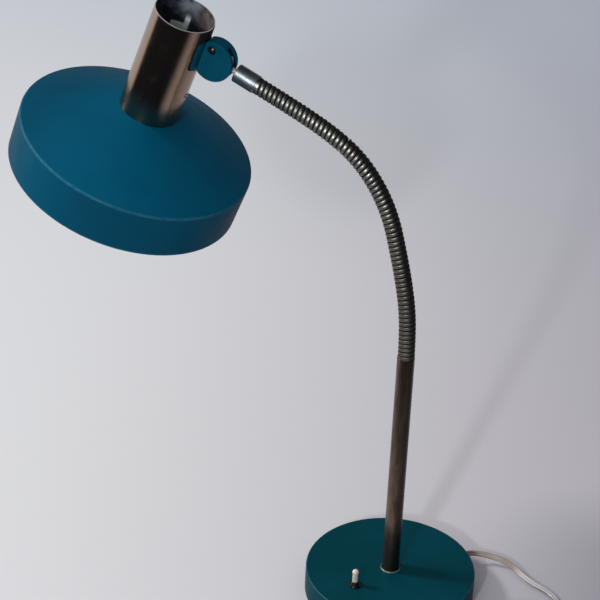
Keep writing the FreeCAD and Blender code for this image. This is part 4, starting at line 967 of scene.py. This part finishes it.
def make_shade():
    """Spun shade with a rolled rim, enamelled petrol blue outside and white inside."""
    slope = math.atan2(JUNCTION - CREASE, SHADE_CREASE_RADIUS - SHADE_SHOULDER)
    lift = SHADE_WALL / math.cos(slope)
    reach = CREASE_ROUND * math.tan((math.pi / 2 - slope) / 2)
    centre = (SHADE_CREASE_RADIUS - CREASE_ROUND, CREASE - reach)
    start = 90 - math.degrees(slope)
    collar = TUBE_RADIUS - TUBE_WALL - SHADE_FIT
    profile = [(collar, JUNCTION + SHADE_COLLAR), (collar, JUNCTION), (SHADE_SHOULDER, JUNCTION)]
    profile += arc(centre, CREASE_ROUND, start, 0)
    profile += [(SHADE_RIM_RADIUS, RIM + 1 * MM)]
    profile += arc((SHADE_RIM_RADIUS - BEAD_RADIUS, RIM), BEAD_RADIUS, 0, -BEAD_TURN, 10)
    profile += [(SHADE_RIM_RADIUS - SHADE_WALL, RIM + 1.6 * MM)]
    profile += arc(centre, CREASE_ROUND - SHADE_WALL, 0, start, 6)
    profile += [(SHADE_SHOULDER, JUNCTION - lift), (collar - SHADE_WALL, JUNCTION - lift)]
    profile += [(collar - SHADE_WALL, JUNCTION + SHADE_COLLAR)]
    shape = lathe(profile, SHADE_SIDES)
    inside = Vector((0, 0, (CREASE + RIM) / 2))
    for face in shape.faces:
        if face.normal.dot(inside - face.calc_center_median()) > 0:
            face.material_index = 1
    bmesh.ops.transform(shape, matrix=HEAD, verts=shape.verts)
    finishes = [SHADE_ENAMEL, REFLECTOR]
    piece_of(shape, "shade_spinning", "head", finishes, ["shade"], 40)


def make_tube():
    """Bright tube with a small chamfer round its upper edge and a finish of its own inside."""
    outer = TUBE_RADIUS
    inner = TUBE_RADIUS - TUBE_WALL
    shape = lathe([
        (outer, JUNCTION), (outer, TUBE_TOP - TUBE_EDGE), (outer - TUBE_EDGE, TUBE_TOP),
        (inner + TUBE_EDGE, TUBE_TOP), (inner, TUBE_TOP - TUBE_EDGE), (inner, JUNCTION),
    ], TUBE_SIDES)
    for face in shape.faces:
        middle = face.calc_center_median()
        faces_in = face.normal.xy.dot(middle.xy) < 0
        if faces_in and middle.xy.length < inner + TUBE_EDGE:
            face.material_index = 1
    bmesh.ops.transform(shape, matrix=HEAD, verts=shape.verts)
    finishes = [TUBE_PLATING, TUBE_INSIDE]
    piece_of(shape, "head_tube_sleeve", "head", finishes, ["head_tube"], 30)


def saddle(half_width, low, high, under, over):
    """Plate with rounded corners and edges, wrapped round the head tube on the knuckle's side."""
    side, bottom, top = half_width - SADDLE_CORNER, low + SADDLE_CORNER, high - SADDLE_CORNER
    outline = []
    for turn, y, z in ((0, side, top), (90, -side, top), (180, -side, bottom), (270, side, bottom)):
        outline += arc((y, z), SADDLE_CORNER, turn, turn + 90, 6)
    shape = bmesh.new()
    back = shape.faces.new([shape.verts.new((TUBE_RADIUS + under, y, z)) for y, z in outline])
    front = bmesh.ops.extrude_face_region(shape, geom=[back], use_keep_orig=True)["geom"]
    moved = [item for item in front if isinstance(item, bmesh.types.BMVert)]
    bmesh.ops.translate(shape, verts=moved, vec=(over - under, 0, 0))
    edges = [edge for edge in shape.edges if all(vert in moved for vert in edge.verts)]
    bmesh.ops.bevel(
        shape, geom=edges, offset=(over - under) * SADDLE_EDGE_SHARE, segments=3, profile=0.5,
        affect="EDGES", material=-1,
    )
    for i in range(1, SADDLE_CUTS):
        geometry = shape.verts[:] + shape.edges[:] + shape.faces[:]
        middle = half_width * (2 * i / SADDLE_CUTS - 1) * BACK
        bmesh.ops.bisect_plane(shape, geom=geometry, dist=FINE_MERGE, plane_co=middle, plane_no=BACK)
    bmesh.ops.recalc_face_normals(shape, faces=shape.faces)
    for vert in shape.verts:
        turn = vert.co.y / TUBE_RADIUS
        vert.co = Vector((vert.co.x * math.cos(turn), vert.co.x * math.sin(turn), vert.co.z))
    bmesh.ops.transform(shape, matrix=HEAD, verts=shape.verts)
    return shape


def make_saddles():
    """Black pad round the tube's side, and the foot of the knuckle that stands on it."""
    pad, foot = saddle(*PAD_SIZES), saddle(*FOOT_SIZES)
    piece_of(pad, "knuckle_pad_saddle", "head", [PAD_RUBBER], ["knuckle_pad"], 40)
    piece_of(foot, "knuckle_foot", "head", [SHADED_KNUCKLE_ENAMEL], [], 40)


make_shade()
make_tube()
make_saddles()


# Switch and collar

def make_switch():
    """Push switch: a black tapered nut and a button with a rounded cap."""
    place = Matrix.Translation(SWITCH_AT)
    shape = lathe([
        (NUT_HOLE_RADIUS, 0), (NUT_RADIUS, 0),
        (NUT_RADIUS, NUT_SKIRT), (NUT_RADIUS - SWITCH_EDGE, NUT_SKIRT + SWITCH_EDGE),
        (NUT_LIP_RADIUS, NUT_HEIGHT - SWITCH_EDGE), (NUT_LIP_RADIUS - SWITCH_EDGE, NUT_HEIGHT),
        (NUT_HOLE_RADIUS, NUT_HEIGHT),
    ], NUT_SIDES, place)
    piece_of(shape, "switch_nut_cone", "base", [BLACK_PLASTIC], ["switch_nut"], 50)
    neck = BUTTON_TOP - BUTTON_HEAD
    button = [(0, -BUTTON_DEPTH), (BUTTON_SHAFT_RADIUS, -BUTTON_DEPTH), (BUTTON_SHAFT_RADIUS, neck)]
    button += [(BUTTON_RADIUS, neck + SWITCH_EDGE)]
    button += arc((0, BUTTON_TOP - BUTTON_RADIUS), BUTTON_RADIUS, 0, 90)
    shape = lathe(button, BUTTON_SIDES, place)
    nodes = ["switch_button"]
    piece_of(shape, "switch_button_cap", "button", [BUTTON_PLASTIC], nodes, 40)


def make_collar():
    """Thin rounded ring round the stem's foot."""
    inner = STEM_RADIUS + COLLAR_GAP
    radius = COLLAR_WIDTH / 2
    profile = [(inner, BASE_HEIGHT), (inner + COLLAR_WIDTH, BASE_HEIGHT)]
    profile += arc((inner + radius, BASE_HEIGHT + COLLAR_HEIGHT - radius), radius, 0, 180)
    shape = lathe(profile, COLLAR_SIDES)
    nodes = ["foot_collar"]
    piece_of(shape, "foot_collar_ring", "base", [COLLAR_PLATING], nodes, 50)


make_switch()
make_collar()


# The other CAD nodes: those in sight are smoothed, and the hidden ones stay and are painted

for node, finish in (
    ("knuckle_housing", SHADED_KNUCKLE_ENAMEL), ("knuckle_cover", SHADED_KNUCKLE_ENAMEL),
    ("clamp_screw", DARK_SCREW), ("ferrule", TURNED_STEEL), ("tongue", WORN_EYE),
    ("holder_bracket", ZINC_STEEL), ("holder_nut", ZINC_STEEL), ("holder_nipple", ZINC_STEEL),
    ("holder_cap", AGED_PLASTIC), ("holder_skirt", HOLDER_PLASTIC), ("holder_lead", PALE_LEAD),
    ("knuckle_screws", ZINC_STEEL), ("shade_screws", NICKEL), ("bulb_cap", CAP_METAL),
    ("bulb_glass", LIT_GLASS), ("stem", STEM_METAL), ("base_cover", BASE_ENAMEL),
    ("cord_bush", AMBER_PLASTIC), ("felt_pad", FELT), ("base_plate", ZINC_STEEL),
):
    dressed(node, finish)

for node, finish in (
    ("base_weight", CAST_IRON), ("plate_screws", ZINC_STEEL), ("stem_foot_plug", BRASS),
    ("stem_nipple", BRASS), ("stem_washer", ZINC_STEEL), ("stem_nut", ZINC_STEEL),
    ("neck_socket", BRASS), ("switch_body", BLACK_PLASTIC), ("cord_tail", AMBER_PLASTIC),
    ("cord_clamp", ZINC_STEEL), ("terminal_block", BLACK_PLASTIC), ("terminal_screws", BRASS),
    ("inner_leads", PALE_LEAD), ("pivot_pin", ZINC_STEEL), ("friction_washers", BRASS),
    ("holder_core", PORCELAIN), ("socket_shell", BRASS), ("socket_contact", BRASS),
):
    painted(node, finish)


# Floor, world and lights

def add_floor():
    """Pale cloth with painted shade: darker to the right, bluer and darker farther back, and darker
    under the lights. In reflections it ends where the dark room begins.
    """
    pale, right_shade, painted_far_shade = (0.62, 0.62, 0.63), (0.345, 0.32, 0.355), (0.36, 0.42, 0.49)
    painted_shade_under_lights, dark_room = (0.09, 0.09, 0.10), (0.010, 0.012, 0.017)
    shape = bmesh.new()
    bmesh.ops.create_grid(shape, x_segments=1, y_segments=1, size=FLOOR_SIZE)
    mesh = bpy.data.meshes.new("floor")
    shape.to_mesh(mesh)
    shape.free()
    floor = bpy.data.objects.new("floor", mesh)
    bpy.context.collection.objects.link(floor)
    cloth = Finish("pale_floor")
    x, y, _ = cloth.split(cloth.place())
    shade = cloth.mix((x * 0.9 + y * 0.25).ramp(-0.5, 0.5), pale, right_shade)
    shade = cloth.mix(y.ramp(0.3, 1.6) * 0.55, shade, painted_far_shade)
    shade = cloth.mix(y.ramp(-0.7, -2.2) * 0.8, shade, painted_shade_under_lights)
    room = y.ramp(-0.12, -0.42).most(x.ramp(0.25, 0.6))
    seen = cloth.mix(cloth.ray("Is Glossy Ray") * room, shade, dark_room)
    cloth.set(Base_Color=seen, Roughness=0.9, Specular_IOR_Level=0.0)
    mesh.materials.append(cloth.material)


class Sky(Finish):
    """The world's nodes."""

    def __init__(self, world):
        world.use_nodes = True
        self.tree = world.node_tree
        self.shader = self.tree.nodes["Background"]


def add_world():
    """Soft light on the lamp, a dark room with a pale horizon in its gloss, and a plain backdrop."""
    dim, bright, backdrop = (0.15, 0.15, 0.17), (0.60, 0.62, 0.66), (0.60, 0.61, 0.66)
    dark, horizon = (0.013, 0.017, 0.026), (0.32, 0.30, 0.30)
    world = bpy.data.worlds.new("studio")
    bpy.context.scene.world = world
    sky = Sky(world)
    x, y, z = sky.split(sky.add("ShaderNodeTexCoord", out="Generated"))
    soft_light = sky.mix((x * -0.8 + z * 0.6).ramp(-0.6, 0.9), dim, bright)
    room = sky.mix(y.ramp(-0.1, 0.5) * z.ramp(0.5, 0.1), dark, horizon)
    lighting = sky.mix(sky.ray("Is Glossy Ray"), soft_light, room)
    sky.set(Color=sky.mix(sky.ray("Is Camera Ray"), lighting, backdrop), Strength=1.0)


def add_light(name, place, size, power, colour):
    data = bpy.data.lights.new(name, "AREA")
    data.shape = "ELLIPSE"
    data.size, data.size_y = size
    data.energy = power
    data.color = colour
    light = bpy.data.objects.new(name, data)
    turn = (LAMP_MIDDLE - Vector(place)).to_track_quat("-Z", "Y").to_matrix().to_4x4()
    light.matrix_world = Matrix.Translation(Vector(place)) @ turn
    bpy.context.collection.objects.link(light)


add_floor()
add_world()
for light in LIGHTS:
    add_light(*light)
bpy.context.scene.view_settings.view_transform = "Standard"
